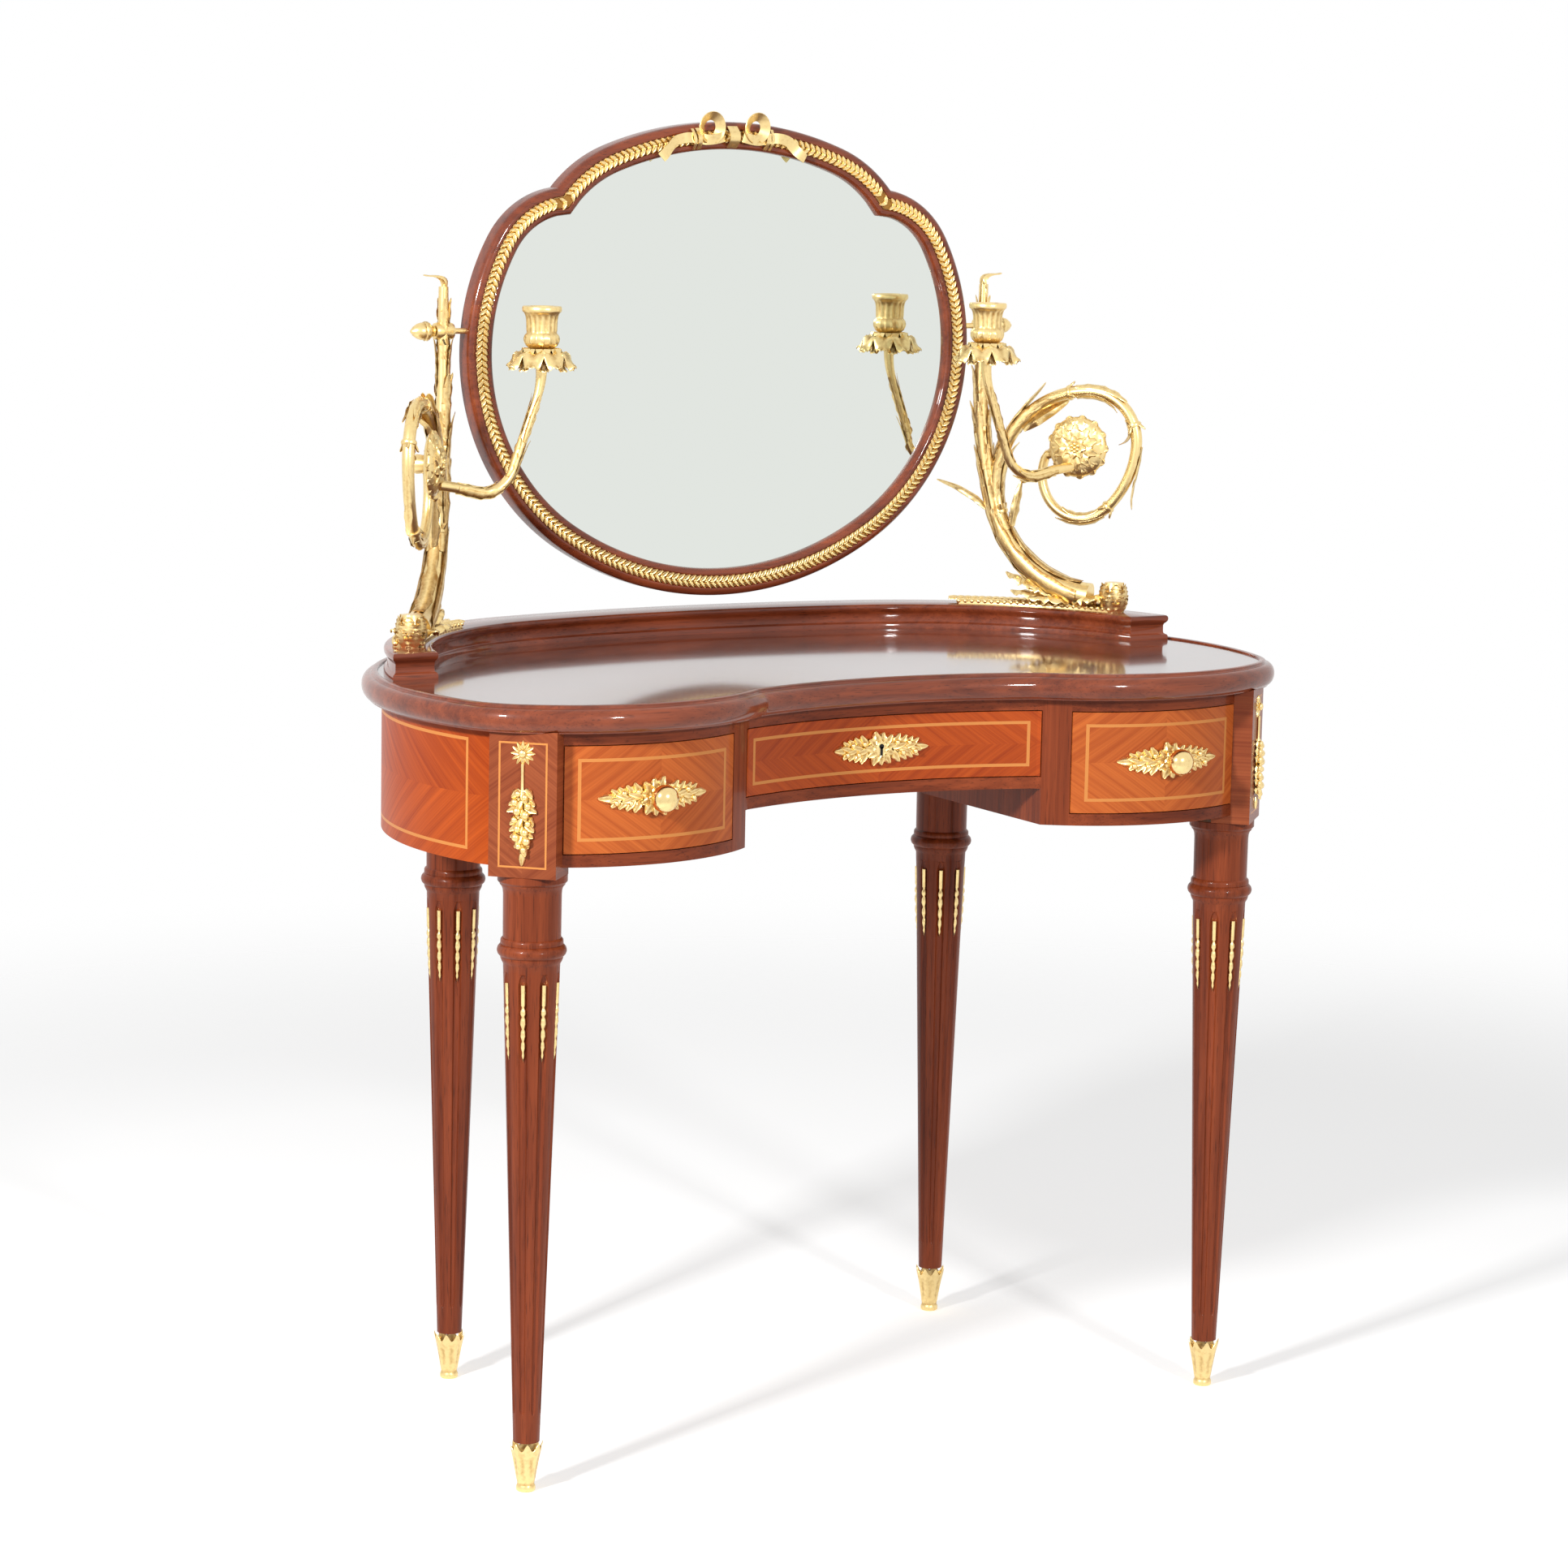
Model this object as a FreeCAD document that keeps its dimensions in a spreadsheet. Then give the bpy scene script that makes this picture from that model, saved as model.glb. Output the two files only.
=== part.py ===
"""Kidney-shaped dressing table with a tilting mirror, three drawers and two candle arms."""
import FreeCAD, Part
import Sketcher
import math
import os

Vec = FreeCAD.Vector
doc = FreeCAD.newDocument("dressing_table")
sheet = doc.addObject("Spreadsheet::Sheet", "sizes")
parts = []


class Size:
    """A length with the spreadsheet formula that gives it."""

    def __init__(self, value, text):
        self.value = float(value)
        self.text = text

    def __add__(self, other):
        other = as_size(other)
        return Size(self.value + other.value, f"({self.text} + {other.text})")

    def __sub__(self, other):
        other = as_size(other)
        return Size(self.value - other.value, f"({self.text} - {other.text})")

    def __mul__(self, factor):
        return Size(self.value * factor, f"({self.text} * {factor})")

    def __neg__(self):
        return self * -1


def as_size(value):
    return value if isinstance(value, Size) else Size(value, str(value))


# Driving dimensions in millimetres and degrees. Depths run back from the axis of the front legs.
SIZES = {
    # plan of the top field, a chain of tangent arcs with one inward corner each side of the knee
    "knee_depth": 26.5, "knee_radius": 476, "lobe_x": 306.5, "lobe_y": 158, "lobe_radius": 213.5,
    "lobe_angle": 56, "shoulder_radius": 84, "shoulder_angle": 18.4, "end_radius": 324.7, "back_angle": 78.5,
    # heights of the table, built up from the floor
    "leg_height": 612, "post_overhang": 9, "carcase_height": 132, "top_thickness": 23, "rim_rise": 2,
    "nose_drop": 1.7, "gallery_rise": 26.8, "upper_rail_height": 14.4, "centre_front_height": 66.6,
    # top edge and gallery
    "nose_width": 16.3, "rim_step": 6, "gallery_outer": 5.7, "gallery_inner": 53.8, "gallery_end": 190,
    # carcase
    "carcase_inset": 4, "panel_thickness": 18, "rail_depth": 22, "rail_height": 12, "board_thickness": 10,
    "knee_half": 173.5, "stile_width": 24, "back_split": 215, "side_start": 5, "front_reach": 20,
    "board_back": 330, "floor_lift": 0.5,
    "post_width": 67.5, "post_depth": 40, "post_reach": 33.75, "post_turn": 45, "block_width": 52,
    # legs
    "front_leg_x": 405, "back_leg_x": 301, "back_leg_y": 382, "cap_radius": 33.75, "cap_thickness": 8,
    "neck_radius": 28, "neck_length": 56, "ring_radius": 33.75, "ring_drop": 16, "ring_half": 8,
    "shaft_drop": 16, "shaft_radius": 27.5, "ankle_height": 50, "ankle_radius": 13,
    "peg_radius": 6, "peg_bottom": 16, "peg_gap": 0.1, "flute_margin": 19, "flute_foot": 28,
    "flute_radius": 4.8, "flute_foot_radius": 2.5, "flute_depth": 2, "flute_count": 8, "back_facing": 59.6,
    "chandelle_length": 76, "chandelle_width": 5,
    "sabot_radius": 15.5, "sabot_foot": 9.5, "sabot_waist": 8.4,
    # drawers
    "drawer_gap": 1, "front_thickness": 20, "side_thickness": 10, "drawer_depth": 225, "centre_depth": 255,
    "side_box_outer": 367, "side_headroom": 23.6, "centre_headroom": 14.6,
    "bottom_thickness": 6, "bottom_raise": 8,
    "guide_height": 16, "guide_width": 8, "guide_play": 1, "inner_guide_width": 6.5, "inner_guide_start": 10,
    "outer_guide_start": 40, "centre_guide_width": 7.5, "centre_guide_start": 80,
    "mount_thickness": 4, "mount_x": 300, "mount_rise": 1.2, "mount_half_width": 60, "mount_half_height": 21,
    "knob_radius": 13, "knob_length": 26, "knob_neck": 6,
    "escutcheon_half_width": 55, "escutcheon_half_height": 18, "escutcheon_rise": 0.7, "keyhole_radius": 2.4,
    "lock_half": 25, "lock_depth": 13, "lock_height": 36, "bolt_half": 7.5, "bolt_thickness": 4,
    "bolt_setback": 4, "bolt_length": 20, "bolt_gap": 0.4,
    "drop_length": 121, "drop_width": 24,
    # mirror
    "mirror_front": 353, "mirror_depth": 22, "mirror_gap": 22, "mirror_height": 497.4, "mirror_radius": 356.5,
    "mirror_side_radius": 242.5, "mirror_side_angle": 58.1, "mirror_shoulder_radius": 99.3,
    "mirror_shoulder_angle": 29.3, "mirror_top_radius": 388.8, "mirror_crest_radius": 149.2,
    "mirror_crest_angle": 21.1, "frame_width": 28.5,
    "band_inset": 9, "band_width": 12, "band_thickness": 2.5, "rebate_width": 5, "rebate_depth": 8,
    "glass_thickness": 4, "glass_gap": 0.4, "bow_rise": 11.8, "bow_ring": 11, "bow_wire": 3, "bow_gap": 16,
    "bow_reach": 60,
    "pivot_rise": 282.2, "pivot_radius": 3, "pivot_gap": 0.05, "pivot_bite": 14, "acorn_radius": 10,
    "acorn_length": 26,
    # supports, drawn on an upright plane that stands along the gallery
    "support_x": 328, "support_y": 362, "support_turn": 53.3, "stem_radius": 7.5, "scroll_radius": 6,
    "stem_rise": 45, "stem_drop": 57, "base_thickness": 6, "base_inset": 8, "base_start": 19, "base_end": 58,
    "boss_radius": 9, "boss_half": 10, "rosette_t": 115.8, "rosette_rise": 178.2, "rosette_radius": 31,
    "rosette_thickness": 12, "rosette_post": 10, "scroll_size": 60,
    "arm_y": 262, "arm_radius": 6, "nozzle_x": 266.5, "pan_lift": 95, "pan_radius": 42, "pan_thickness": 9,
    "nozzle_height": 61, "nozzle_rim": 20, "nozzle_foot": 10, "candle_radius": 11, "candle_depth": 36,
}

# Heights and places that follow from those sizes
DERIVED = {
    "post_bottom": "leg_height", "carcase_bottom": "post_bottom + post_overhang",
    "top_under": "carcase_bottom + carcase_height", "field_height": "top_under + top_thickness",
    "rim_height": "field_height + rim_rise", "nose_under": "top_under - nose_drop",
    "gallery_height": "field_height + gallery_rise",
    "drawer_top": "top_under - upper_rail_height - drawer_gap",
    "side_floor": "carcase_bottom + rail_height + drawer_gap",
    "knee_floor": "drawer_top - centre_front_height", "knee_height": "knee_floor - drawer_gap - rail_height",
    "side_box_height": "drawer_top - side_floor - side_headroom",
    "centre_box_height": "centre_front_height - centre_headroom",
    "side_box_inner": "knee_half + stile_width + inner_guide_width + guide_play",
    "centre_box_half": "knee_half - centre_guide_width - guide_play",
    "mount_height": "(side_floor + drawer_top) / 2 + mount_rise",
    "escutcheon_z": "(knee_floor + drawer_top) / 2 + escutcheon_rise",
    "drop_height": "(post_bottom + top_under) / 2",
    "neck_bottom": "leg_height - neck_length", "ring_height": "neck_bottom - ring_drop",
    "shaft_top": "ring_height - shaft_drop", "flute_top": "shaft_top - flute_margin",
    "flute_bottom": "ankle_height + flute_foot",
    "mirror_low": "gallery_height + mirror_gap", "mirror_z": "mirror_low + mirror_radius",
    "mirror_top_z": "mirror_low + mirror_height", "bow_height": "mirror_top_z + bow_rise",
    "pivot_z": "mirror_low + pivot_rise", "stem_top": "pivot_z + stem_rise",
    "rosette_z": "gallery_height + rosette_rise", "pan_z": "rosette_z + pan_lift",
    "nozzle_top": "pan_z + nozzle_height",
}

for row, (alias, entry) in enumerate((SIZES | DERIVED).items(), 1):
    sheet.set(f"A{row}", alias)
    sheet.set(f"B{row}", f"={entry}" if alias in DERIVED else str(entry))
    sheet.setAlias(f"B{row}", alias)
doc.recompute()


def ref(alias):
    return Size(sheet.get(alias), f"sizes.{alias}")


def val(alias):
    return float(sheet.get(alias))


def add_part(label, obj):
    obj.Label = label
    parts.append(obj)
    return obj


def add_shape(label, shape):
    """A piece whose curved form is made directly as a shape."""
    obj = doc.addObject("Part::Feature", label)
    obj.Shape = shape
    obj.Placement = FreeCAD.Placement(Vec(0, -setback, 0), FreeCAD.Rotation()).multiply(shape.Placement)
    return add_part(label, obj)


def bound_box(name, low, high):
    """A box between two corners, each coordinate bound to the sheet."""
    obj = doc.addObject("Part::Box", name)
    for prop, axis in (("Length", 0), ("Width", 1), ("Height", 2)):
        obj.setExpression(prop, (high[axis] - low[axis]).text)
    for axis, letter in enumerate("xyz"):
        obj.setExpression(f"Placement.Base.{letter}", as_size(low[axis]).text)
    return obj


def turned_body(label, points, x, y):
    """A turned piece: half profile of radius and height pairs, revolved about an upright axis."""
    body = doc.addObject("PartDesign::Body", label)
    sketch = body.newObject("Sketcher::SketchObject", label + "_profile")
    plane = [f for f in body.Origin.OriginFeatures if f.Role == "XZ_Plane"][0]
    sketch.AttachmentSupport = [(plane, "")]
    sketch.MapMode = "FlatFace"
    count = len(points)
    spots = [Vec(as_size(r).value, as_size(z).value, 0) for r, z in points]
    for i in range(count):
        sketch.addGeometry(Part.LineSegment(spots[i], spots[(i + 1) % count]), False)
    for i in range(count):
        sketch.addConstraint(Sketcher.Constraint("Coincident", i, 2, (i + 1) % count, 1))
    for i, (r, z) in enumerate(points):
        for kind, size, line in (("DistanceX", as_size(r), -2), ("DistanceY", as_size(z), -1)):
            if size.value == 0:
                sketch.addConstraint(Sketcher.Constraint("PointOnObject", i, 1, line))
                continue
            index = sketch.addConstraint(Sketcher.Constraint(kind, -1, 1, i, 1, size.value))
            if "sizes." in size.text:
                sketch.setExpression(f"Constraints[{index}]", size.text)
    turn = body.newObject("PartDesign::Revolution", label + "_turn")
    turn.Profile = sketch
    turn.ReferenceAxis = (sketch, ["V_Axis"])
    turn.Angle = 360
    sketch.Visibility = False
    body.setExpression("Placement.Base.x", as_size(x).text)
    body.setExpression("Placement.Base.y", as_size(y).text)
    return body


def polar(angle):
    return math.cos(math.radians(angle)), math.sin(math.radians(angle))


def on_arc(centre, radius, angle):
    c, s = polar(angle)
    return centre[0] + radius * c, centre[1] + radius * s


def bearing(centre, spot):
    return math.degrees(math.atan2(spot[1] - centre[1], spot[0] - centre[0]))


def arc_run(centre, radius, first, last):
    """Start, middle and end of an arc between two angles."""
    return tuple(on_arc(centre, radius, angle) for angle in (first, (first + last) / 2, last))


def flipped(arcs):
    """The same arcs on the left-hand side, in the order that carries on round the outline."""
    return [tuple((-a, b) for a, b in reversed(arc)) for arc in reversed(arcs)]


def crossings(c0, r0, c1, r1):
    """Both crossings of two circles."""
    dx, dy = c1[0] - c0[0], c1[1] - c0[1]
    d = math.hypot(dx, dy)
    a = (r0 * r0 - r1 * r1 + d * d) / (2 * d)
    h = math.sqrt(r0 * r0 - a * a)
    mid = (c0[0] + a * dx / d, c0[1] + a * dy / d)
    return [(mid[0] + k * h * dy / d, mid[1] - k * h * dx / d) for k in (1, -1)]


# Centres of the outline's arcs
KNEE_C = (0.0, val("knee_depth") - val("knee_radius"))
LOBE_C = (val("lobe_x"), val("lobe_y"))
SHOULDER_C = on_arc(LOBE_C, val("lobe_radius") - val("shoulder_radius"), -val("lobe_angle"))
END_C = on_arc(SHOULDER_C, val("shoulder_radius") - val("end_radius"), -val("shoulder_angle"))
back_cos, back_sin = polar(val("back_angle"))
BACK_RADIUS = val("end_radius") + END_C[0] / back_cos
BACK_C = (0.0, END_C[1] - (BACK_RADIUS - val("end_radius")) * back_sin)
back_edge = BACK_C[1] + BACK_RADIUS
front_face = LOBE_C[1] - val("lobe_radius") + val("carcase_inset")
knob_front = front_face - val("mount_thickness") - val("knob_length")
setback = (back_edge + val("nose_width") + knob_front) / 2
sheet.set("D1", "setback")
sheet.set("E1", str(setback))
sheet.setAlias("E1", "setback")
doc.recompute()
SETBACK = ref("setback")


def outline(offset, z):
    """Closed wire of the kidney plan, offset outwards, at a height."""
    knee_r = val("knee_radius") - offset
    lobe_r = val("lobe_radius") + offset
    corners = crossings(KNEE_C, knee_r, LOBE_C, lobe_r)
    corner = min(corners, key=lambda spot: abs(spot[0] - val("knee_half")))
    start = bearing(LOBE_C, corner)
    lobe_a, turn_a, back_a = -val("lobe_angle"), -val("shoulder_angle"), val("back_angle")
    back_r = BACK_RADIUS + offset
    if start > 0:
        start -= 360
    right = [
        arc_run(LOBE_C, lobe_r, start, lobe_a),
        arc_run(SHOULDER_C, val("shoulder_radius") + offset, lobe_a, turn_a),
        arc_run(END_C, val("end_radius") + offset, turn_a, back_a),
    ]
    left = flipped(right)
    back = (right[-1][2], (0.0, BACK_C[1] + back_r), left[0][0])
    knee = (left[-1][2], (0.0, KNEE_C[1] + knee_r), right[0][0])
    edges = []
    for arc in right + [back] + left + [knee]:
        edges.append(Part.Arc(*[Vec(x, y, z) for x, y in arc]).toShape())
    return Part.Wire(edges)


def prism(offset, low, high):
    return Part.Face(outline(offset, low)).extrude(Vec(0, 0, high - low))


def band(outer, inner, low, high):
    return prism(outer, low, high).cut(prism(inner, low, high))


def block(x0, x1, y0, y1, z0, z1):
    return Part.makeBox(x1 - x0, y1 - y0, z1 - z0, Vec(x0, y0, z0))


def mirrored(shape):
    return shape.mirror(Vec(0, 0, 0), Vec(1, 0, 0))


def add_pair(name, shape):
    """The right-hand piece and its mirror image on the left."""
    add_shape(name + "_right", shape)
    add_shape(name + "_left", mirrored(shape))


FAR = 600.0
carcase = -val("carcase_inset")
inside = carcase - val("panel_thickness")
behind_rail = carcase - val("rail_depth")
top_under = val("top_under")
low_edge = val("carcase_bottom")
knee_z = val("knee_height")
stile_out = val("knee_half") + val("stile_width")
gap = val("drawer_gap")
rail_low = val("drawer_top") + gap


def post_block(grow):
    """The corner post, turned to face outwards over the front leg."""
    width = val("post_width") + 2 * grow
    low = val("post_bottom") - grow
    shape = Part.makeBox(width, val("post_depth") + grow, top_under - low)
    shape.translate(Vec(-width / 2, -val("post_reach") - grow, low))
    shape.rotate(Vec(0, 0, 0), Vec(0, 0, 1), val("post_turn"))
    shape.translate(Vec(val("front_leg_x"), 0, 0))
    return shape


POST = post_block(0)
POST_ROOM = post_block(gap)

# Top: the veneered field and the moulded edge round it
add_shape("top_panel", prism(0, top_under, val("field_height")))
nose = val("nose_width")
nose_low = val("nose_under")
rim = val("rim_height")
# Shares of the nose's width and height up the edge: undercut, rounded nose, fillet, then the rim of the field
edge_step = val("rim_step") / nose
edge_profile = [
    (0.62, 0), (0.86, 0.08), (1, 0.28), (1, 0.49), (0.9, 0.69), (0.68, 0.805), (0.6, 0.845),
    (edge_step, 0.963), (edge_step * 0.6, 1),
]
edge_wires = [outline(nose * out, nose_low + (rim - nose_low) * up) for out, up in edge_profile]
edge_ring = Part.makeLoft(edge_wires, True, True).cut(prism(0, nose_low - 1, rim + 1))
add_shape("top_edge_moulding", edge_ring)

# Gallery: a curved upstand along the back, with square returns at its ends
gallery = band(-val("gallery_outer"), -val("gallery_inner"), val("field_height"), val("gallery_height"))
add_shape("gallery", gallery.common(block(-FAR, FAR, val("gallery_end"), FAR, 0, 2 * FAR)))

# Carcase: side panels and back, bent to the plan
shell = band(carcase, inside, low_edge, top_under)
side = shell.common(block(val("back_split"), FAR, val("side_start"), FAR, 0, 2 * FAR)).cut(POST)
add_pair("side_panel", side)
back_half = val("back_split")
add_shape("back_panel", shell.common(block(-back_half, back_half, val("lobe_y"), FAR, 0, 2 * FAR)))
add_pair("post", POST.cut(edge_ring))
half_block = val("block_width") / 2
leg_x, leg_y = val("back_leg_x"), val("back_leg_y")
corner_block = block(leg_x - half_block, leg_x + half_block, leg_y - half_block, leg_y + half_block,
                     val("post_bottom"), top_under)
add_pair("back_block", corner_block.common(prism(inside, 0, 2 * FAR)))

# Knee panels: upright boards that wall the kneehole and show as stiles at the front
stile = block(val("knee_half"), stile_out, -FAR, val("lobe_y"), low_edge, top_under)
stile = stile.common(prism(carcase, 0, 2 * FAR))
board = block(val("knee_half"), stile_out, val("lobe_y"), FAR, low_edge, top_under)
board = board.common(prism(inside, 0, 2 * FAR))
add_pair("knee_panel", stile.fuse(board).removeSplitter())

# Rails above and below the drawers
lobe_room = block(stile_out, FAR, -FAR, val("front_reach"), 0, 2 * FAR)
knee_room = block(-val("knee_half"), val("knee_half"), -FAR, val("lobe_y"), 0, 2 * FAR)
upper = band(carcase, behind_rail, rail_low, top_under)
lower = band(carcase, behind_rail, low_edge, low_edge + val("rail_height"))
middle = band(carcase, behind_rail, knee_z, knee_z + val("rail_height"))


def rail_set(side_band, middle_band):
    right = side_band.common(lobe_room).cut(POST)
    right = max(right.Solids, key=lambda solid: solid.Volume)
    return Part.makeCompound([right, middle_band.common(knee_room).Solids[0], mirrored(right)])


add_shape("upper_rails", rail_set(upper, upper))
add_shape("lower_rails", rail_set(lower, middle))

# Dust boards under the drawers
lift = val("rail_height") + val("floor_lift")
board_low = low_edge + lift - val("board_thickness")
side_board = block(stile_out, FAR, -FAR, val("board_back"), board_low, board_low + val("board_thickness"))
side_board = side_board.common(prism(behind_rail, 0, 2 * FAR)).cut(POST)
side_board = max(side_board.Solids, key=lambda solid: solid.Volume)
knee_low = knee_z + lift - val("board_thickness")
knee_high = knee_low + val("board_thickness")
knee_board = block(-val("knee_half"), val("knee_half"), -FAR, FAR, knee_low, knee_high)
knee_board = knee_board.common(prism(behind_rail, 0, 2 * FAR)).Solids[0]
add_shape("dust_boards", Part.makeCompound([side_board, knee_board, mirrored(side_board)]))

# Drawer guides: straight strips beside each box
guides = []
side_base = ref("carcase_bottom") + ref("rail_height") + ref("floor_lift")
knee_base = ref("knee_height") + ref("rail_height") + ref("floor_lift")
play = ref("guide_play")
outer_face = ref("side_box_outer") + play
stile_face = ref("knee_half") + ref("stile_width")
guide_rows = [
    ("side_inner", stile_face, ref("side_box_inner") - play, ref("inner_guide_start"), side_base),
    ("side_outer", outer_face, outer_face + ref("guide_width"), ref("outer_guide_start"), side_base),
    ("centre", ref("centre_box_half") + play, ref("knee_half"), ref("centre_guide_start"), knee_base),
]
for name, low_x, high_x, start_y, floor in guide_rows:
    low_y = start_y - SETBACK
    high_y = ref("drawer_depth") - SETBACK
    for hand, x0, x1 in (("right", low_x, high_x), ("left", -high_x, -low_x)):
        low, high = (x0, low_y, floor), (x1, high_y, floor + ref("guide_height"))
        guides.append(bound_box(f"guide_{name}_{hand}", low, high))
guide_set = doc.addObject("Part::Compound", "drawer_guides")
guide_set.Links = guides
add_part("drawer_guides", guide_set)

# Legs: turned shafts with a cap, a ring and a peg that enters the sabot
leg_profile = [
    (0, ref("post_bottom")), (ref("cap_radius"), ref("post_bottom")),
    (ref("cap_radius"), ref("post_bottom") - ref("cap_thickness")),
    (ref("cap_radius") - 2.5, ref("post_bottom") - ref("cap_thickness") - 2),
    (ref("neck_radius") + 1, ref("post_bottom") - ref("cap_thickness") - 5),
    (ref("neck_radius"), ref("post_bottom") - ref("cap_thickness") - 10),
    (ref("neck_radius"), ref("neck_bottom")), (ref("neck_radius") + 2, ref("neck_bottom") - 2),
    (ref("neck_radius") + 2, ref("ring_height") + ref("ring_half")),
    (ref("ring_radius") - 1, ref("ring_height") + ref("ring_half") - 3),
    (ref("ring_radius"), ref("ring_height") + 2), (ref("ring_radius"), ref("ring_height") - 2),
    (ref("ring_radius") - 1, ref("ring_height") - ref("ring_half") + 3),
    (ref("neck_radius") + 2, ref("ring_height") - ref("ring_half")),
    (ref("neck_radius") + 2, ref("shaft_top") + 3), (ref("shaft_radius"), ref("shaft_top")),
    (ref("ankle_radius"), ref("ankle_height")), (ref("peg_radius"), ref("ankle_height")),
    (ref("peg_radius"), ref("peg_bottom")), (0, ref("peg_bottom")),
]
slope = (val("shaft_radius") - val("ankle_radius")) / (val("shaft_top") - val("ankle_height"))


def shaft_radius_at(z):
    return val("ankle_radius") + slope * (z - val("ankle_height"))


def turned_shape(shape, degrees):
    copy = shape.copy()
    copy.rotate(Vec(0, 0, 0), Vec(0, 0, 1), degrees)
    return copy


def around(shape, count):
    """Copies of a shape turned evenly about the upright axis."""
    copies = []
    for k in range(count):
        copies.append(turned_shape(shape, 360.0 * k / count))
    return copies


flute_low = Vec(shaft_radius_at(val("flute_bottom")) + 0.6, 0, val("flute_bottom"))
flute_high = Vec(shaft_radius_at(val("flute_top")) + 1.2, 0, val("flute_top"))
flute_run = flute_high.sub(flute_low)
flute = Part.makeCone(val("flute_foot_radius"), val("flute_radius"), flute_run.Length, flute_low, flute_run)
flute = flute.fuse(Part.makeCone(val("flute_radius"), 0.4, val("flute_radius") * 2.2, flute_high, flute_run))
flutes = Part.makeCompound(around(flute, int(val("flute_count"))))

strip_top = val("flute_top") - 3
strip_low = strip_top - val("chandelle_length")
strip_foot = Vec(shaft_radius_at(strip_low) - val("flute_depth"), 0, strip_low)
strip_head = Vec(shaft_radius_at(strip_top) - val("flute_depth"), 0, strip_top)
strip = Part.makeBox(val("chandelle_width") / 2, val("chandelle_width"), strip_head.sub(strip_foot).Length)
strip.translate(Vec(0, -val("chandelle_width") / 2, 0))
strip.rotate(Vec(0, 0, 0), Vec(0, 1, 0), math.degrees(math.atan(slope)))
strip.translate(strip_foot)
strips = around(strip, int(val("flute_count")))

# each leg is turned so that one flute faces straight out of the plan
front_facing = val("post_turn") - 90
back_facing = val("back_facing")
leg_places = [
    ("front_left", -ref("front_leg_x"), -SETBACK, 180 - front_facing),
    ("front_right", ref("front_leg_x"), -SETBACK, front_facing),
    ("back_left", -ref("back_leg_x"), ref("back_leg_y") - SETBACK, 180 - back_facing),
    ("back_right", ref("back_leg_x"), ref("back_leg_y") - SETBACK, back_facing),
]
sabot_profile = [
    (0, 0), (ref("sabot_foot") - 0.8, 0), (ref("sabot_foot"), 2), (ref("sabot_foot"), 5),
    (ref("sabot_waist"), 7), (ref("sabot_waist") + 0.3, 9), (ref("sabot_radius"), ref("ankle_height")),
    (ref("peg_radius") + ref("peg_gap"), ref("ankle_height")),
    (ref("peg_radius") + ref("peg_gap"), ref("peg_bottom") - ref("peg_gap")),
    (0, ref("peg_bottom") - ref("peg_gap")),
]
chandelles = []
for name, x, y, facing in leg_places:
    turned = turned_body("turned_leg_" + name, leg_profile, x, y)
    cutter = doc.addObject("Part::Feature", "flutes_" + name)
    cutter.Shape = turned_shape(flutes, facing)
    cutter.setExpression("Placement.Base.x", x.text)
    cutter.setExpression("Placement.Base.y", y.text)
    leg = doc.addObject("Part::Cut", "leg_" + name)
    leg.Base = turned
    leg.Tool = cutter
    add_part("leg_" + name, leg)
    add_part("sabot_" + name, turned_body("sabot_" + name, sabot_profile, x, y))
    for piece in strips:
        moved = turned_shape(piece, facing)
        moved.translate(Vec(x.value, y.value + setback, 0))
        chandelles.append(moved)
add_shape("leg_chandelles", Part.makeCompound(chandelles))

# Bronze drops on the posts: a rosette, a stem and a hanging bunch, in outline
drop_low = val("drop_height") - val("drop_length") / 2
drop_high = val("drop_height") + val("drop_length") / 2
drop_r = val("drop_width") / 2
thick = val("mount_thickness")


def drop_disc(radius, z, depth):
    return Part.makeCylinder(radius, depth, Vec(0, 0, z), Vec(0, -1, 0))


drop = drop_disc(drop_r * 0.8, drop_high - drop_r * 0.8, thick)
drop = drop.fuse(block(-1.5, 1.5, -thick * 0.6, 0, val("drop_height"), drop_high - drop_r))
for share, radius in ((-0.03, 0.7), (-0.16, 0.9), (-0.3, 0.95), (-0.42, 0.6)):
    drop = drop.fuse(drop_disc(drop_r * radius, val("drop_height") + share * val("drop_length"), thick * 1.6))
drop = drop.removeSplitter()
drop.translate(Vec(0, -val("post_reach"), 0))
drop.rotate(Vec(0, 0, 0), Vec(0, 0, 1), val("post_turn"))
drop.translate(Vec(val("front_leg_x"), 0, 0))
add_pair("post_mount", drop)

# Side drawers: bowed fronts, straight boxes
front_in = carcase - val("front_thickness")
floor_z = val("side_floor")
front_room = block(stile_out + gap, FAR, -FAR, val("front_reach"), floor_z, val("drawer_top"))
side_front = band(carcase, front_in, floor_z, val("drawer_top")).common(front_room).cut(POST_ROOM)
side_front = max(side_front.Solids, key=lambda solid: solid.Volume)


def drawer_box(x0, x1, low, high, depth):
    """Two sides, a back and a bottom board, scribed to the curved front."""
    thickness = val("side_thickness")
    base = low + val("bottom_raise")
    inner = prism(front_in, 0, 2 * FAR)
    left = block(x0, x0 + thickness, -FAR, depth, low, high).common(inner)
    right = block(x1 - thickness, x1, -FAR, depth, low, high).common(inner)
    back = block(x0 + thickness, x1 - thickness, depth - thickness, depth, low, high)
    base_top = base + val("bottom_thickness")
    bottom = block(x0 + thickness, x1 - thickness, -FAR, depth - thickness, base, base_top).common(inner)
    return Part.makeCompound([left.Solids[0], right.Solids[0], back, bottom.Solids[0]])


side_box = drawer_box(val("side_box_inner"), val("side_box_outer"), floor_z, floor_z + val("side_box_height"),
                      val("drawer_depth"))


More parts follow.
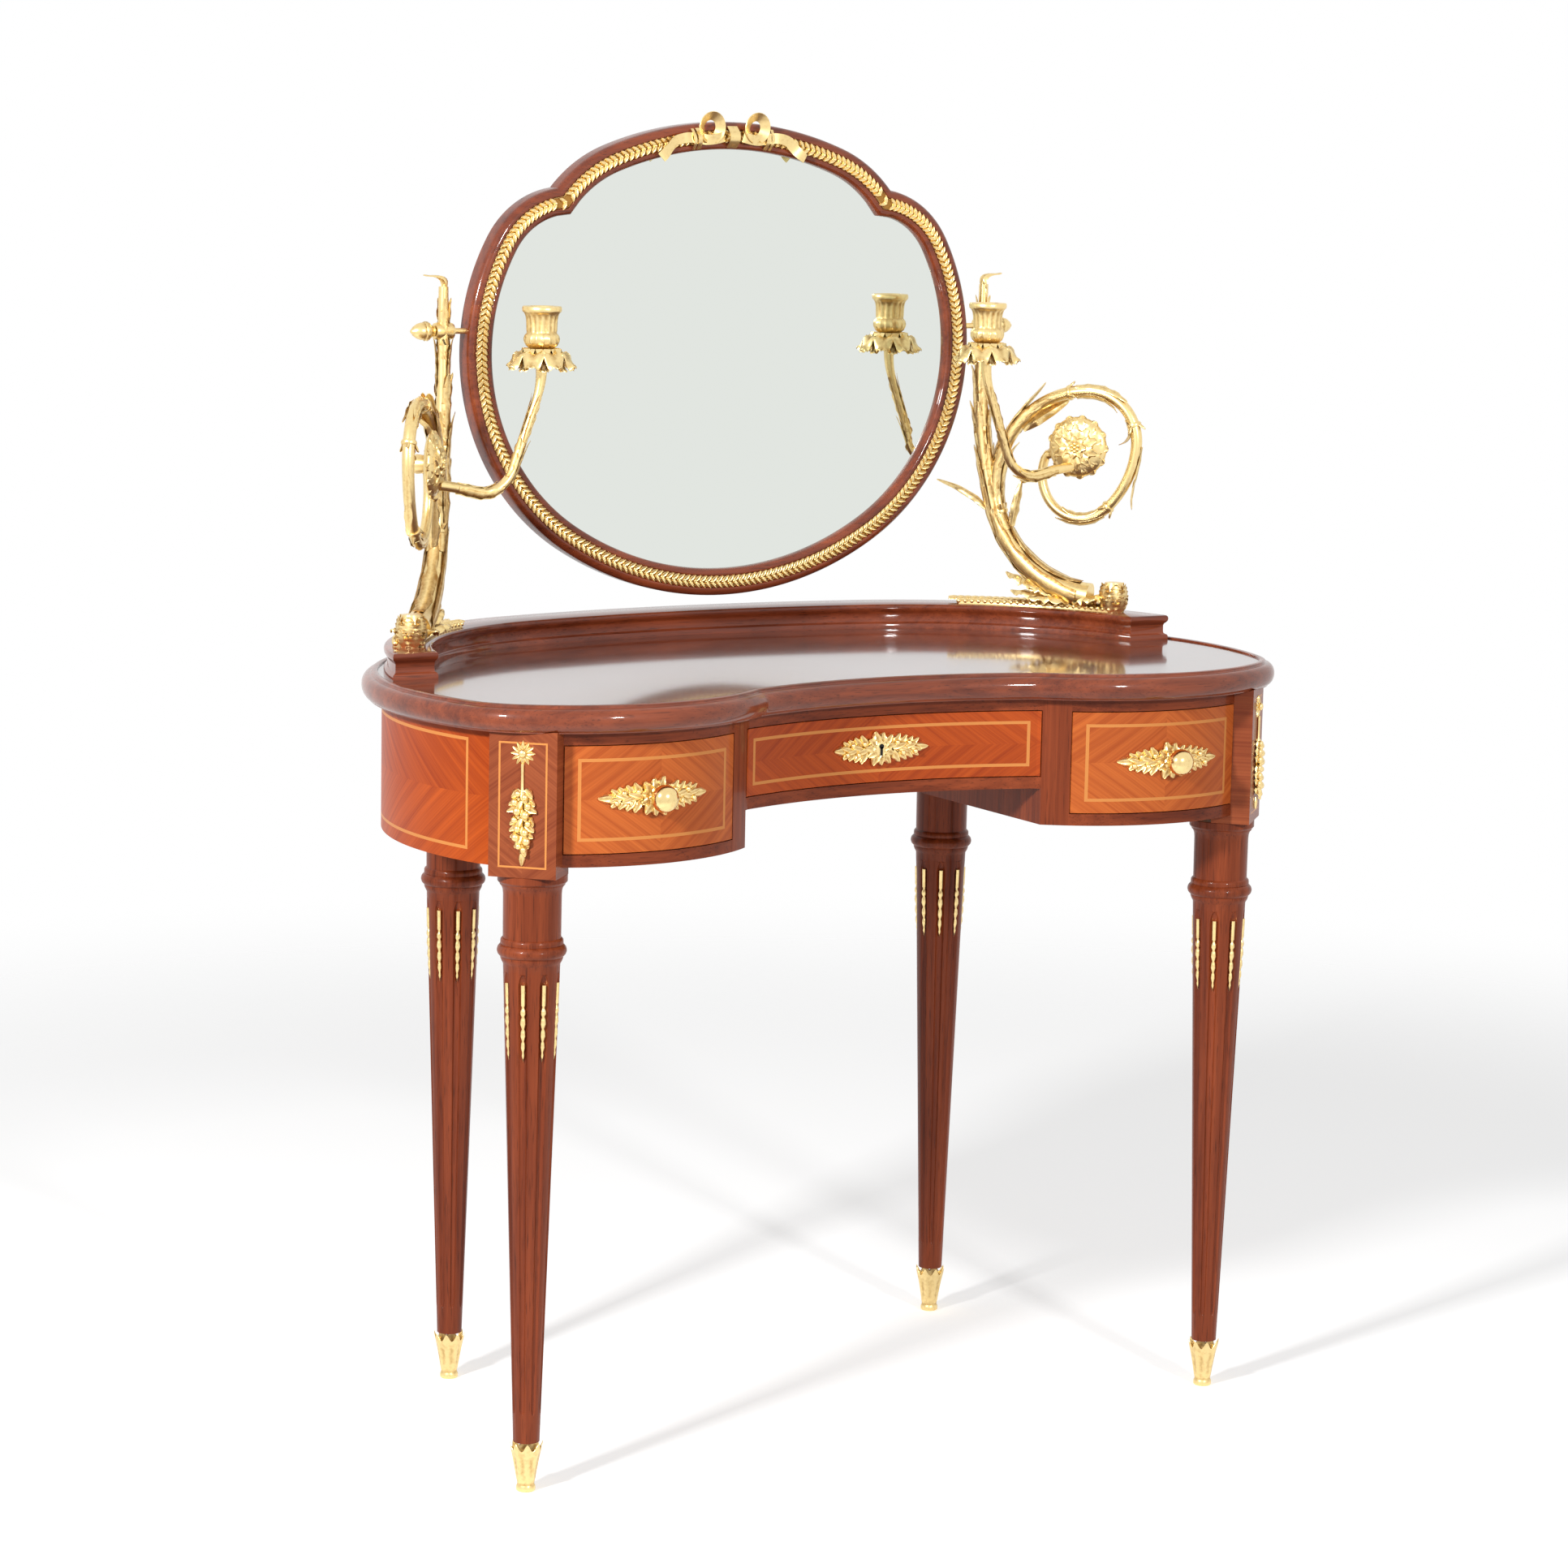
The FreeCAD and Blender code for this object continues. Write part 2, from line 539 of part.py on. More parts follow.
def oval_mount(x, z, half_width, half_height):
    """An oval plate bent to the front it lies on."""
    oval = Part.Ellipse(Vec(0, 0, 0), half_width, half_height).toShape()
    plate = Part.Face(Part.Wire(oval)).extrude(Vec(0, 0, FAR))
    plate.rotate(Vec(0, 0, 0), Vec(1, 0, 0), 90)
    plate.translate(Vec(x, val("lobe_y"), z))
    bent = plate.common(band(carcase + thick, carcase, low_edge, top_under))
    return max(bent.Solids, key=lambda solid: solid.Volume)


side_mount = oval_mount(val("mount_x"), val("mount_height"), val("mount_half_width"),
                        val("mount_half_height"))
knob_r = val("knob_radius")
knob_end = val("knob_length")
knob_neck = val("knob_neck")
knob_points = [(0, 0), (knob_r * 0.55, 0), (knob_r * 0.45, knob_neck), (knob_r * 0.85, knob_neck + 3),
               (knob_r, knob_neck + 8), (knob_r * 0.95, knob_end - 6), (knob_r * 0.7, knob_end - 2),
               (0, knob_end)]
knob_wire = Part.makePolygon([Vec(r, -d, 0) for r, d in knob_points + knob_points[:1]])
knob = Part.Face(knob_wire).revolve(Vec(0, 0, 0), Vec(0, 1, 0), 360)
mount_r = val("lobe_radius") + carcase + thick
mount_face = LOBE_C[1] - math.sqrt(mount_r ** 2 - (val("mount_x") - LOBE_C[0]) ** 2)
knob.translate(Vec(val("mount_x"), mount_face, val("mount_height")))
knob = knob.cut(prism(carcase + thick, 0, 2 * FAR))
for hand, place in (("right", lambda shape: shape), ("left", mirrored)):
    add_shape(f"drawer_{hand}_front", place(side_front))
    add_shape(f"drawer_{hand}_box", place(side_box))
    add_shape(f"drawer_{hand}_mount", place(side_mount))
    add_shape(f"drawer_{hand}_knob", place(knob))

# Centre drawer with its lock
knee_floor_z = val("knee_floor")
centre_half = val("knee_half") - gap
centre_front = band(carcase, front_in, knee_floor_z, val("drawer_top"))
centre_room = block(-centre_half, centre_half, -FAR, val("lobe_y"), 0, 2 * FAR)
centre_front = centre_front.common(centre_room).Solids[0]
add_shape("drawer_centre_front", centre_front)
add_shape("drawer_centre_box", drawer_box(-val("centre_box_half"), val("centre_box_half"), knee_floor_z,
                                          knee_floor_z + val("centre_box_height"), val("centre_depth")))
escutcheon = oval_mount(0, val("escutcheon_z"), val("escutcheon_half_width"), val("escutcheon_half_height"))
key_r = val("keyhole_radius")
keyhole = Part.makeCylinder(key_r, FAR, Vec(0, val("lobe_y"), val("escutcheon_z") + key_r), Vec(0, -1, 0))
keyhole = keyhole.fuse(block(-key_r * 0.6, key_r * 0.6, -FAR, val("lobe_y"), val("escutcheon_z") - 3 * key_r,
                             val("escutcheon_z") + key_r))
add_shape("escutcheon", escutcheon.cut(keyhole))
lock_front = KNEE_C[1] + val("knee_radius") - front_in
lock_back = lock_front + val("lock_depth")
lock_top = val("drawer_top")
lock_half = val("lock_half")
case = block(-lock_half, lock_half, 0, lock_back, lock_top - val("lock_height"), lock_top)
case = case.common(prism(front_in, 0, 2 * FAR))
bolt_front = lock_front + val("bolt_setback")
bolt_back = bolt_front + val("bolt_thickness")
bolt_half = val("bolt_half")
bolt_low = lock_top - val("bolt_length")
slack = val("bolt_gap")
case = case.cut(block(-bolt_half - slack, bolt_half + slack, bolt_front - slack, bolt_back + slack,
                      bolt_low - slack, FAR * 2))
add_shape("lock_case", case)
add_shape("lock_bolt", block(-bolt_half, bolt_half, bolt_front, bolt_back, bolt_low, lock_top - slack))

# Mirror: one closed outline of smooth arcs with a notch each side of the crest, used at several insets
MIRROR_C = (0.0, val("mirror_z"))
MIRROR_SIDE_C = on_arc(MIRROR_C, val("mirror_radius") - val("mirror_side_radius"), -val("mirror_side_angle"))
side_step = val("mirror_side_radius") - val("mirror_shoulder_radius")
MIRROR_SHOULDER_C = on_arc(MIRROR_SIDE_C, side_step, val("mirror_shoulder_angle"))
CREST_C = (0.0, val("mirror_top_z") - val("mirror_top_radius"))
crest_a = 90 - val("mirror_crest_angle")
CREST_END_C = on_arc(CREST_C, val("mirror_top_radius") - val("mirror_crest_radius"), crest_a)


def mirror_wire(inset, y):
    """Closed outline of the mirror, drawn inwards by the inset, at a depth."""
    shoulder_r = val("mirror_shoulder_radius") - inset
    end_r = val("mirror_crest_radius") - inset
    side_a, shoulder_a = -val("mirror_side_angle"), val("mirror_shoulder_angle")
    notch = max(crossings(MIRROR_SHOULDER_C, shoulder_r, CREST_END_C, end_r), key=lambda spot: spot[1])
    right = [
        arc_run(MIRROR_SIDE_C, val("mirror_side_radius") - inset, side_a, shoulder_a),
        arc_run(MIRROR_SHOULDER_C, shoulder_r, shoulder_a, bearing(MIRROR_SHOULDER_C, notch)),
        arc_run(CREST_END_C, end_r, bearing(CREST_END_C, notch), crest_a),
    ]
    left = flipped(right)
    crest = (right[-1][2], (0.0, val("mirror_top_z") - inset), left[0][0])
    base = (left[-1][2], (0.0, val("mirror_low") + inset), right[0][0])
    edges = []
    for arc in right + [crest] + left + [base]:
        edges.append(Part.Arc(*[Vec(x, y, z) for x, z in arc]).toShape())
    return Part.Wire(edges)


def mirror_plate(inset, front, back):
    return Part.Face(mirror_wire(inset, front)).extrude(Vec(0, back - front, 0))


mirror_y = val("mirror_front")
mirror_back = mirror_y + val("mirror_depth")
rebate = val("frame_width") - val("rebate_width")
pivot_y = mirror_y + val("mirror_depth") / 2
pivot_z = val("pivot_z")
pivot_fall = pivot_z - MIRROR_SIDE_C[1]
frame_edge = MIRROR_SIDE_C[0] + math.sqrt(val("mirror_side_radius") ** 2 - pivot_fall ** 2)
opening = mirror_plate(val("frame_width"), mirror_y - 1, mirror_back + 1)
frame = mirror_plate(0, mirror_y, mirror_back).cut(opening)
frame = frame.cut(mirror_plate(rebate, mirror_y + val("rebate_depth"), mirror_back + 1))
bore_r = val("pivot_radius") + val("pivot_gap")
for hand in (1, -1):
    start = Vec(hand * (frame_edge - val("pivot_bite") - 1), pivot_y, pivot_z)
    frame = frame.cut(Part.makeCylinder(bore_r, 2 * val("frame_width"), start, Vec(hand, 0, 0)))
add_shape("mirror_frame", frame)
band_front = mirror_y - val("band_thickness")
band_ring = mirror_plate(val("band_inset"), band_front, mirror_y)
band_ring = band_ring.cut(mirror_plate(val("band_inset") + val("band_width"), band_front - 1, mirror_y + 1))
add_shape("mirror_band", band_ring)
glass_front = mirror_y + val("rebate_depth")
glass_back = glass_front + val("glass_thickness")
add_shape("mirror_glass", mirror_plate(rebate + val("glass_gap"), glass_front, glass_back))
add_shape("mirror_backboard", mirror_plate(rebate + val("glass_gap"), glass_back, mirror_back))
ring = val("bow_ring")
wire = val("bow_wire")
bow_z = val("bow_height") - ring - wire
bow_y = band_front - 2 * wire
bow_low = bow_z - ring


def bow_disc(x, z, radius):
    return Part.makeCylinder(radius, 2 * wire, Vec(x, bow_y, z), Vec(0, 1, 0))


bow = block(-val("bow_reach"), val("bow_reach"), bow_y, band_front, bow_low - 2 * wire, bow_low + wire / 2)
for hand in (1, -1):
    loop_x = hand * (ring + val("bow_gap"))
    bow = bow.fuse(bow_disc(loop_x, bow_z, ring + wire)).cut(bow_disc(loop_x, bow_z, ring - wire))
add_shape("mirror_bow", bow)

# Supports: bronze stems in an upright plane over the gallery, with their scrolls
along_cos, along_sin = polar(-val("support_turn"))
ALONG = Vec(along_cos, along_sin, 0)
OUTWARD = Vec(-along_sin, along_cos, 0)
SUPPORT_O = Vec(val("support_x"), val("support_y"), 0)


def on_support(t, z, out=0):
    return SUPPORT_O + ALONG * t + OUTWARD * out + Vec(0, 0, z)


def tangent_arcs(points, heading, place):
    """Edges through points, each an arc that leaves the last one smoothly."""
    edges = []
    for (t0, z0), (t1, z1) in zip(points, points[1:]):
        chord = math.atan2(z1 - z0, t1 - t0)
        bend = math.remainder(chord - heading, 2 * math.pi)
        if abs(bend) < 1e-3:
            edges.append(Part.makeLine(place(t0, z0), place(t1, z1)))
        else:
            length = math.hypot(t1 - t0, z1 - z0)
            rise = length / 2 * math.tan(bend / 2)
            mid = ((t0 + t1) / 2 + rise * math.sin(chord), (z0 + z1) / 2 - rise * math.cos(chord))
            edges.append(Part.Arc(place(t0, z0), place(*mid), place(t1, z1)).toShape())
        heading = chord + bend
    return edges, heading


def tube(points, start_angle, radius, place):
    edges, heading = tangent_arcs(points, math.radians(start_angle), place)
    path = Part.Wire(edges)
    first = edges[0]
    start = first.valueAt(first.FirstParameter)
    direction = first.tangentAt(first.FirstParameter)
    section = Part.Wire(Part.makeCircle(radius, start, direction))
    return path.makePipeShell([section], True, False)


gallery_top = val("gallery_height")
base_top = gallery_top + val("base_thickness")
stem_r = val("stem_radius")
scroll_r = val("scroll_radius")
pivot_t = (val("support_y") - pivot_y) / -along_sin
rosette_t, rosette_z = val("rosette_t"), val("rosette_z")


def by_rosette(along, up):
    """A spot on the support, in scroll sizes from the middle of the rosette."""
    return rosette_t + along * val("scroll_size"), rosette_z + up * val("scroll_size")


# The stem falls past the pivot, swings out and comes back to the gallery under the rosette
stem_foot = (by_rosette(0.237, 0)[0], base_top + 1.25 * stem_r)
stem_bend = (pivot_t, pivot_z - val("stem_drop"))
STEM_POINTS = [(pivot_t, val("stem_top")), stem_bend, by_rosette(-1.663, -1.117), stem_foot]
# The scroll rises from the gallery, rings the rosette and ends beside it
scroll_foot = (by_rosette(-0.397, 0)[0], base_top + 1.65 * scroll_r)
SCROLL_TURNS = [(-1.563, -1.2), (-1.13, 0.45), (0.153, 1.0), (1.037, 0.05), (0.487, -1.117), (-0.613, -0.983),
                (-0.663, -0.183)]
SCROLL_POINTS = [scroll_foot] + [by_rosette(along, up) for along, up in SCROLL_TURNS]
stem = tube(STEM_POINTS, -90, stem_r, on_support)
scroll = tube(SCROLL_POINTS, 152, scroll_r, on_support)
post_out = val("rosette_post")
scroll_end = on_support(*SCROLL_POINTS[-1])
hub = on_support(rosette_t, rosette_z)
support = stem.fuse(scroll)
to_hub = hub.sub(scroll_end)
support = support.fuse(Part.makeCylinder(scroll_r, to_hub.Length, scroll_end, to_hub))
hub_back = hub + OUTWARD * scroll_r
support = support.fuse(Part.makeCylinder(post_out, scroll_r + post_out, hub_back, OUTWARD * -1))
support = support.fuse(Part.makeSphere(stem_r * 1.2, on_support(pivot_t, val("stem_top"))))
for t, z in (STEM_POINTS[-1], SCROLL_POINTS[0]):
    foot = on_support(t - stem_r / 2, base_top)
    support = support.fuse(Part.makeCylinder(stem_r, z - base_top, foot, Vec(0, 0, 1)))
pivot_spot = on_support(pivot_t, pivot_z)
boss_x = pivot_spot.x
boss_start = Vec(boss_x - val("boss_half"), pivot_y, pivot_z)
support = support.fuse(Part.makeCylinder(val("boss_radius"), 2 * val("boss_half"), boss_start, Vec(1, 0, 0)))
bore_start = Vec(boss_x - 2 * val("boss_half"), pivot_y, pivot_z)
support = support.cut(Part.makeCylinder(bore_r, 4 * val("boss_half"), bore_start, Vec(1, 0, 0)))
support = support.removeSplitter()
add_pair("support", support)

base_outer = -val("gallery_outer") - val("base_inset")
base_inner = -val("gallery_inner") + val("base_inset")
base = band(base_outer, base_inner, gallery_top, base_top)
end_axis = Vec(END_C[0], END_C[1], 0)
sector = Part.makeCylinder(FAR, FAR * 3, end_axis, Vec(0, 0, 1), val("base_end") - val("base_start"))
sector.rotate(end_axis, Vec(0, 0, 1), val("base_start"))
add_pair("support_base", base.common(sector))

rosette_back = hub - OUTWARD * post_out
rosette = Part.makeCylinder(val("rosette_radius"), val("rosette_thickness"), rosette_back, OUTWARD * -1)
add_pair("rosette", rosette)


def on_arm(x, z):
    return Vec(x, val("arm_y"), z)


nozzle_x = val("nozzle_x")
pan_lift = val("pan_lift")
arm_root = (hub.x + val("arm_radius") / 2, rosette_z - 0.2 * pan_lift)
ARM_TURNS = [(0.763, -1.305), (0.321, -1.074), (0.053, -0.337), (0, 0)]
ARM_POINTS = [arm_root]
for along, up in ARM_TURNS:
    ARM_POINTS.append((nozzle_x + along * pan_lift, val("pan_z") + up * pan_lift))
arm = tube(ARM_POINTS, 184, val("arm_radius"), on_arm)
arm = arm.cut(block(0, FAR, 0, FAR, val("pan_z"), 2 * FAR)).cut(rosette).cut(support)
add_pair("candle_arm", max(arm.Solids, key=lambda solid: solid.Volume))

# Drip pans and nozzles, turned about the upright axis at the end of each arm
pan_profile = [
    (0, ref("pan_z")), (ref("nozzle_foot"), ref("pan_z")), (ref("pan_radius") * 0.6, ref("pan_z") + 1),
    (ref("pan_radius"), ref("pan_z") + ref("pan_thickness") - 3),
    (ref("pan_radius"), ref("pan_z") + ref("pan_thickness")),
    (ref("pan_radius") * 0.6, ref("pan_z") + 4),
    (ref("nozzle_foot"), ref("pan_z") + ref("pan_thickness") - 3),
    (0, ref("pan_z") + ref("pan_thickness") - 3),
]
nozzle_base = ref("pan_z") + ref("pan_thickness") - 3
socket_floor = ref("nozzle_top") - ref("candle_depth")
nozzle_profile = [
    (0, nozzle_base), (ref("nozzle_foot"), nozzle_base), (ref("nozzle_foot") * 0.7, nozzle_base + 4),
    (ref("candle_radius") + 4, nozzle_base + 12), (ref("candle_radius") + 6, nozzle_base + 20),
    (ref("candle_radius") + 3, nozzle_base + 30), (ref("candle_radius") + 4, ref("nozzle_top") - 8),
    (ref("nozzle_rim"), ref("nozzle_top") - 3), (ref("nozzle_rim"), ref("nozzle_top")),
    (ref("candle_radius"), ref("nozzle_top")), (ref("candle_radius"), socket_floor), (0, socket_floor),
]
for hand, x in (("right", ref("nozzle_x")), ("left", -ref("nozzle_x"))):
    for name, profile in (("drip_pan_", pan_profile), ("candle_nozzle_", nozzle_profile)):
        add_part(name + hand, turned_body(name + hand, profile, x, ref("arm_y") - SETBACK))

# Pivot screws: a shank through the upright into the frame, with an acorn head outside
pin_start = frame_edge - val("pivot_bite")
boss_out = boss_x + val("boss_half")
acorn_r = val("acorn_radius")
acorn_end = boss_out + 1 + val("acorn_length")
screw_points = [(0, pin_start), (val("pivot_radius"), pin_start), (val("pivot_radius"), boss_out + 1),
                (acorn_r * 0.5, boss_out + 1), (acorn_r * 0.55, boss_out + 5), (acorn_r, boss_out + 9),
                (acorn_r * 0.9, boss_out + 15), (acorn_r * 0.45, acorn_end - 4), (0, acorn_end)]
screw_wire = Part.makePolygon([Vec(along, r, 0) for r, along in screw_points + screw_points[:1]])
screw = Part.Face(screw_wire).revolve(Vec(0, 0, 0), Vec(1, 0, 0), 360)
screw.translate(Vec(0, pivot_y, pivot_z))
add_pair("pivot_screw", screw)

doc.recompute()
for obj in doc.Objects:
    if "Invalid" in obj.State or "Error" in obj.State:
        raise RuntimeError(f"{obj.Label} failed: {obj.State}")
for part in parts:
    if part.Shape.isNull() or not part.Shape.isValid() or not part.Shape.Solids:
        raise RuntimeError(f"{part.Label} has no valid solid")
os.makedirs("parts", exist_ok=True)
for part in parts:
    part.Shape.exportStep(f"parts/{part.Label}.step")
print(len(parts), "parts written; setback", round(setback, 2))
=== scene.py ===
import math

import bmesh
import bpy
from mathutils import Matrix, Vector


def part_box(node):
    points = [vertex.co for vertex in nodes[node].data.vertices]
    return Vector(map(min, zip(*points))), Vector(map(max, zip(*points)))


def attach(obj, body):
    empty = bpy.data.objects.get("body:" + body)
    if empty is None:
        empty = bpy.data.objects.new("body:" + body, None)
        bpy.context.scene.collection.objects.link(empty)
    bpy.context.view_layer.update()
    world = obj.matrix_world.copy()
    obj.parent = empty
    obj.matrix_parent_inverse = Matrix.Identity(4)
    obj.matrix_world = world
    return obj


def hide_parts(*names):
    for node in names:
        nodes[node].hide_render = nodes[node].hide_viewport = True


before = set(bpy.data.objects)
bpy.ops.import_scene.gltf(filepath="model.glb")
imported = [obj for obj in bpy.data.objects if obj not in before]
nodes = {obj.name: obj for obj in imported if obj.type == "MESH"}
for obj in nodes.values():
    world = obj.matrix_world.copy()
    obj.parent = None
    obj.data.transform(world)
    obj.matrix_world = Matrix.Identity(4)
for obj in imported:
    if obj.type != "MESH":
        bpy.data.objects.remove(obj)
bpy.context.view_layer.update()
mm = 0.001

# Legs
# Four turned mahogany legs: a cap and plain neck under the carcase, a half-round ring, and a tapering
# shaft with eight flutes that end in pointed arches. Each is turned in one piece and then fluted.
MAHOGANY_DARK = (0.1, 0.0145, 0.0045, 1)
MAHOGANY_LIGHT = (0.38, 0.078, 0.024, 1)
POLISH_SPECULAR, COAT_ROUGHNESS = 0.12, 0.07
PORE_STRENGTH, PORE_DEPTH = 0.12, 0.4 * mm
WELD = 0.02 * mm
FLUTES = 8
FLUTE_STEPS = 20
FLUTE_TOP, FLUTE_BOTTOM, FLUTE_ARCH = 505 * mm, 78 * mm, 12 * mm
FLUTE_HALF, FLUTE_DEPTH, FLUTE_FOOT = 4.9 * mm, 0.72, 6 * mm
ARCH_POINT = 1.4
ARCH_ROWS, SHAFT_ROWS, FOOT_ROWS = (1, 0.94, 0.82, 0.66, 0.48, 0.26, 0), 24, (5, 2.4, 0.8, 0)
FOOT_START = 8 * mm
FRONT_FACING, BACK_FACING = math.radians(-45), math.radians(59.6)
SHAFT_TOP, SHAFT_RADIUS = 524 * mm, 27.5 * mm
ANKLE, ANKLE_RADIUS = 50 * mm, 13 * mm
LEG_HEAD = [(0, 612), (33.2, 612), (33.75, 611.4), (33.75, 605), (33, 604), (31.6, 602.6), (31.4, 601.4),
            (29.6, 599.4), (28.6, 596.4), (28.2, 592), (28, 549.8), (29.2, 549), (30.2, 547.6),
            (30.4, 544.2), (29.9, 543.2), (31.4, 542.2), (32.9, 540.4), (33.6, 538), (33.6, 536.6),
            (32.9, 534.2), (31.4, 532.4), (30, 531.4), (30.2, 530), (29.4, 527.6), (28.2, 525.4),
            (27.5, 524)]


def feed(tree, node, inputs):
    """Gives each input of a node a value, or a socket to link from."""
    for key, value in inputs.items():
        if isinstance(value, bpy.types.NodeSocket):
            tree.links.new(value, node.inputs[key])
        else:
            node.inputs[key].default_value = value


def put(tree, kind, inputs=None, **settings):
    """A new node with its settings and inputs."""
    made = tree.nodes.new(kind)
    for name, value in settings.items():
        setattr(made, name, value)
    feed(tree, made, inputs or {})
    return made


def sums(tree, operation, *values):
    """A Math node on numbers or sockets, and its result."""
    return put(tree, "ShaderNodeMath", dict(enumerate(values)), operation=operation).outputs[0]


def blend_colour(tree, share, first, second):
    made = put(tree, "ShaderNodeMix", {0: share, 6: first, 7: second}, data_type="RGBA")
    return made.outputs[2]


def drawn_noise(tree, place, stretch, detail):
    """Noise drawn out along one axis, for grain and file marks."""
    spread = put(tree, "ShaderNodeMapping", {"Vector": place, "Scale": stretch}).outputs[0]
    return put(tree, "ShaderNodeTexNoise", {"Vector": spread, "Scale": 1, "Detail": detail}).outputs[0]


def new_group(name, inputs, outputs):
    """An empty shader group with its sockets, its input node and its output node."""
    group = bpy.data.node_groups.new(name, "ShaderNodeTree")
    for side, sockets in (("INPUT", inputs), ("OUTPUT", outputs)):
        for label, kind in sockets:
            group.interface.new_socket(label, in_out=side, socket_type="NodeSocket" + kind)
    return group, group.nodes.new("NodeGroupInput"), group.nodes.new("NodeGroupOutput")


# Straight grain that runs along the third coordinate: broad streaks, fine lines and short pores
wood_grain, given, result = new_group(
    "wood_grain", [("Place", "Vector"), ("Dark", "Color"), ("Light", "Color")],
    [("Colour", "Color"), ("Relief", "Float")])
tree = wood_grain
broad, fine, short = [drawn_noise(tree, given.outputs["Place"], stretch, detail) for stretch, detail in (
    ((38, 38, 1.6), 3), ((190, 190, 5), 2), ((900, 900, 28), 1))]
streak = sums(tree, "MULTIPLY_ADD", broad, 1.3, -0.15)
tone = sums(tree, "ADD", streak, sums(tree, "MULTIPLY_ADD", fine, 0.9, -0.45))
tone = put(tree, "ShaderNodeClamp", {0: tone}).outputs[0]
toned = blend_colour(tree, tone, given.outputs["Dark"], given.outputs["Light"])
pores = put(tree, "ShaderNodeMapRange", {0: short, 1: 0.28, 2: 0.42, 3: 0.55, 4: 1.0}).outputs[0]
shade = put(tree, "ShaderNodeCombineColor", {0: pores, 1: pores, 2: pores}).outputs[0]
pored = put(tree, "ShaderNodeMix", {0: 1.0, 6: toned, 7: shade}, data_type="RGBA", blend_type="MULTIPLY")
feed(tree, result, {"Colour": pored.outputs[2], "Relief": pores})


def new_finish(name):
    """An empty material with its node tree, its shader and the piece's own coordinates."""
    material = bpy.data.materials.new(name)
    material.use_nodes = True
    tree = material.node_tree
    return material, tree, tree.nodes["Principled BSDF"], put(tree, "ShaderNodeTexCoord").outputs["Object"]


def french_polish(tree, shader, relief, roughness=0.4, coat=0.2):
    """The polish over any wood here: a clear hard coat on a surface that keeps a little of its grain."""
    bump = put(tree, "ShaderNodeBump", {"Strength": PORE_STRENGTH, "Distance": PORE_DEPTH, "Height": relief})
    feed(tree, shader, {"Roughness": roughness, "Specular IOR Level": POLISH_SPECULAR, "Coat Weight": coat,
                        "Coat Roughness": COAT_ROUGHNESS, "Normal": bump.outputs[0]})


def plain_wood(name, dark, light, grain_turn=(0, 0, 0), **polish):
    material, tree, shader, place = new_finish(name)
    turned = put(tree, "ShaderNodeMapping", {"Vector": place, "Rotation": grain_turn}).outputs[0]
    grain = put(tree, "ShaderNodeGroup", {"Place": turned, "Dark": dark, "Light": light},
                node_tree=wood_grain)
    feed(tree, shader, {"Base Color": grain.outputs["Colour"]})
    french_polish(tree, shader, grain.outputs["Relief"], **polish)
    return material


def fit(name, bm, material, body, slot, *stands_for, sharp=35):
    """Closes a finished mesh and fixes it to its body as one piece of the table."""
    bmesh.ops.remove_doubles(bm, verts=bm.verts, dist=WELD)
    bmesh.ops.recalc_face_normals(bm, faces=bm.faces)
    mesh = bpy.data.meshes.new(name)
    bm.to_mesh(mesh)
    bm.free()
    mesh.shade_smooth()
    mesh.set_sharp_from_angle(angle=math.radians(sharp))
    mesh.materials.append(material)
    piece = bpy.data.objects.new(name, mesh)
    bpy.context.scene.collection.objects.link(piece)
    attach(piece, body)
    if stands_for:
        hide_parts(*stands_for)


def join(bm, piece, place):
    """Adds a small mesh to a larger one at its place."""
    piece.transform(place)
    pattern = bpy.data.meshes.new("pattern")
    piece.to_mesh(pattern)
    piece.free()
    bm.from_mesh(pattern)
    bpy.data.meshes.remove(pattern)


def turning(bm, profile, steps, place=Matrix(), shape=None):
    """Turns a chain of radius and height pairs about an upright axis, shapes it and sets it at its place."""
    piece = bmesh.new()
    chain = [piece.verts.new((radius * mm, 0, height * mm)) for radius, height in profile]
    edges = [piece.edges.new(pair) for pair in zip(chain, chain[1:])]
    bmesh.ops.spin(piece, geom=chain + edges, cent=(0, 0, 0), axis=(0, 0, 1), angle=math.tau, steps=steps,
                   use_merge=True)
    for vert in piece.verts if shape else ():
        shape(vert)
    join(bm, piece, place)


def shaft_radius(height):
    return ANKLE_RADIUS + (SHAFT_RADIUS - ANKLE_RADIUS) * (height - ANKLE) / (SHAFT_TOP - ANKLE)


def flute_shaft(vert):
    """Gathers a vertex of the shaft into its flute and sinks it to the hollow."""
    height = vert.co.z
    if not FLUTE_BOTTOM - 1e-6 <= height <= FLUTE_TOP + FLUTE_ARCH:
        return
    pitch = math.tau / FLUTES
    radius = shaft_radius(height)
    angle = math.atan2(vert.co.y, vert.co.x) - pitch / 2
    flute = round(angle / pitch)
    share = (angle - flute * pitch) / (pitch / 2)
    arch = max(0, height - FLUTE_TOP) / FLUTE_ARCH
    foot = min(1, (height - FLUTE_BOTTOM) / FLUTE_FOOT)
    ends = math.sqrt(max(0, 1 - arch ** ARCH_POINT)) * math.sqrt(max(0, foot))
    half = FLUTE_HALF * radius / SHAFT_RADIUS * ends
    edge = max(half / radius / (pitch / 2), 0.01)
    across = share * 2 * edge
    if abs(share) > 0.5:
        across = math.copysign(edge + (abs(share) - 0.5) * 2 * (1 - edge), share)
    depth = FLUTE_DEPTH * half * math.sqrt(max(0, 1 - (across / edge) ** 2))
    turn = (flute + across / 2) * pitch + pitch / 2
    vert.co.x = (radius - depth) * math.cos(turn)
    vert.co.y = (radius - depth) * math.sin(turn)


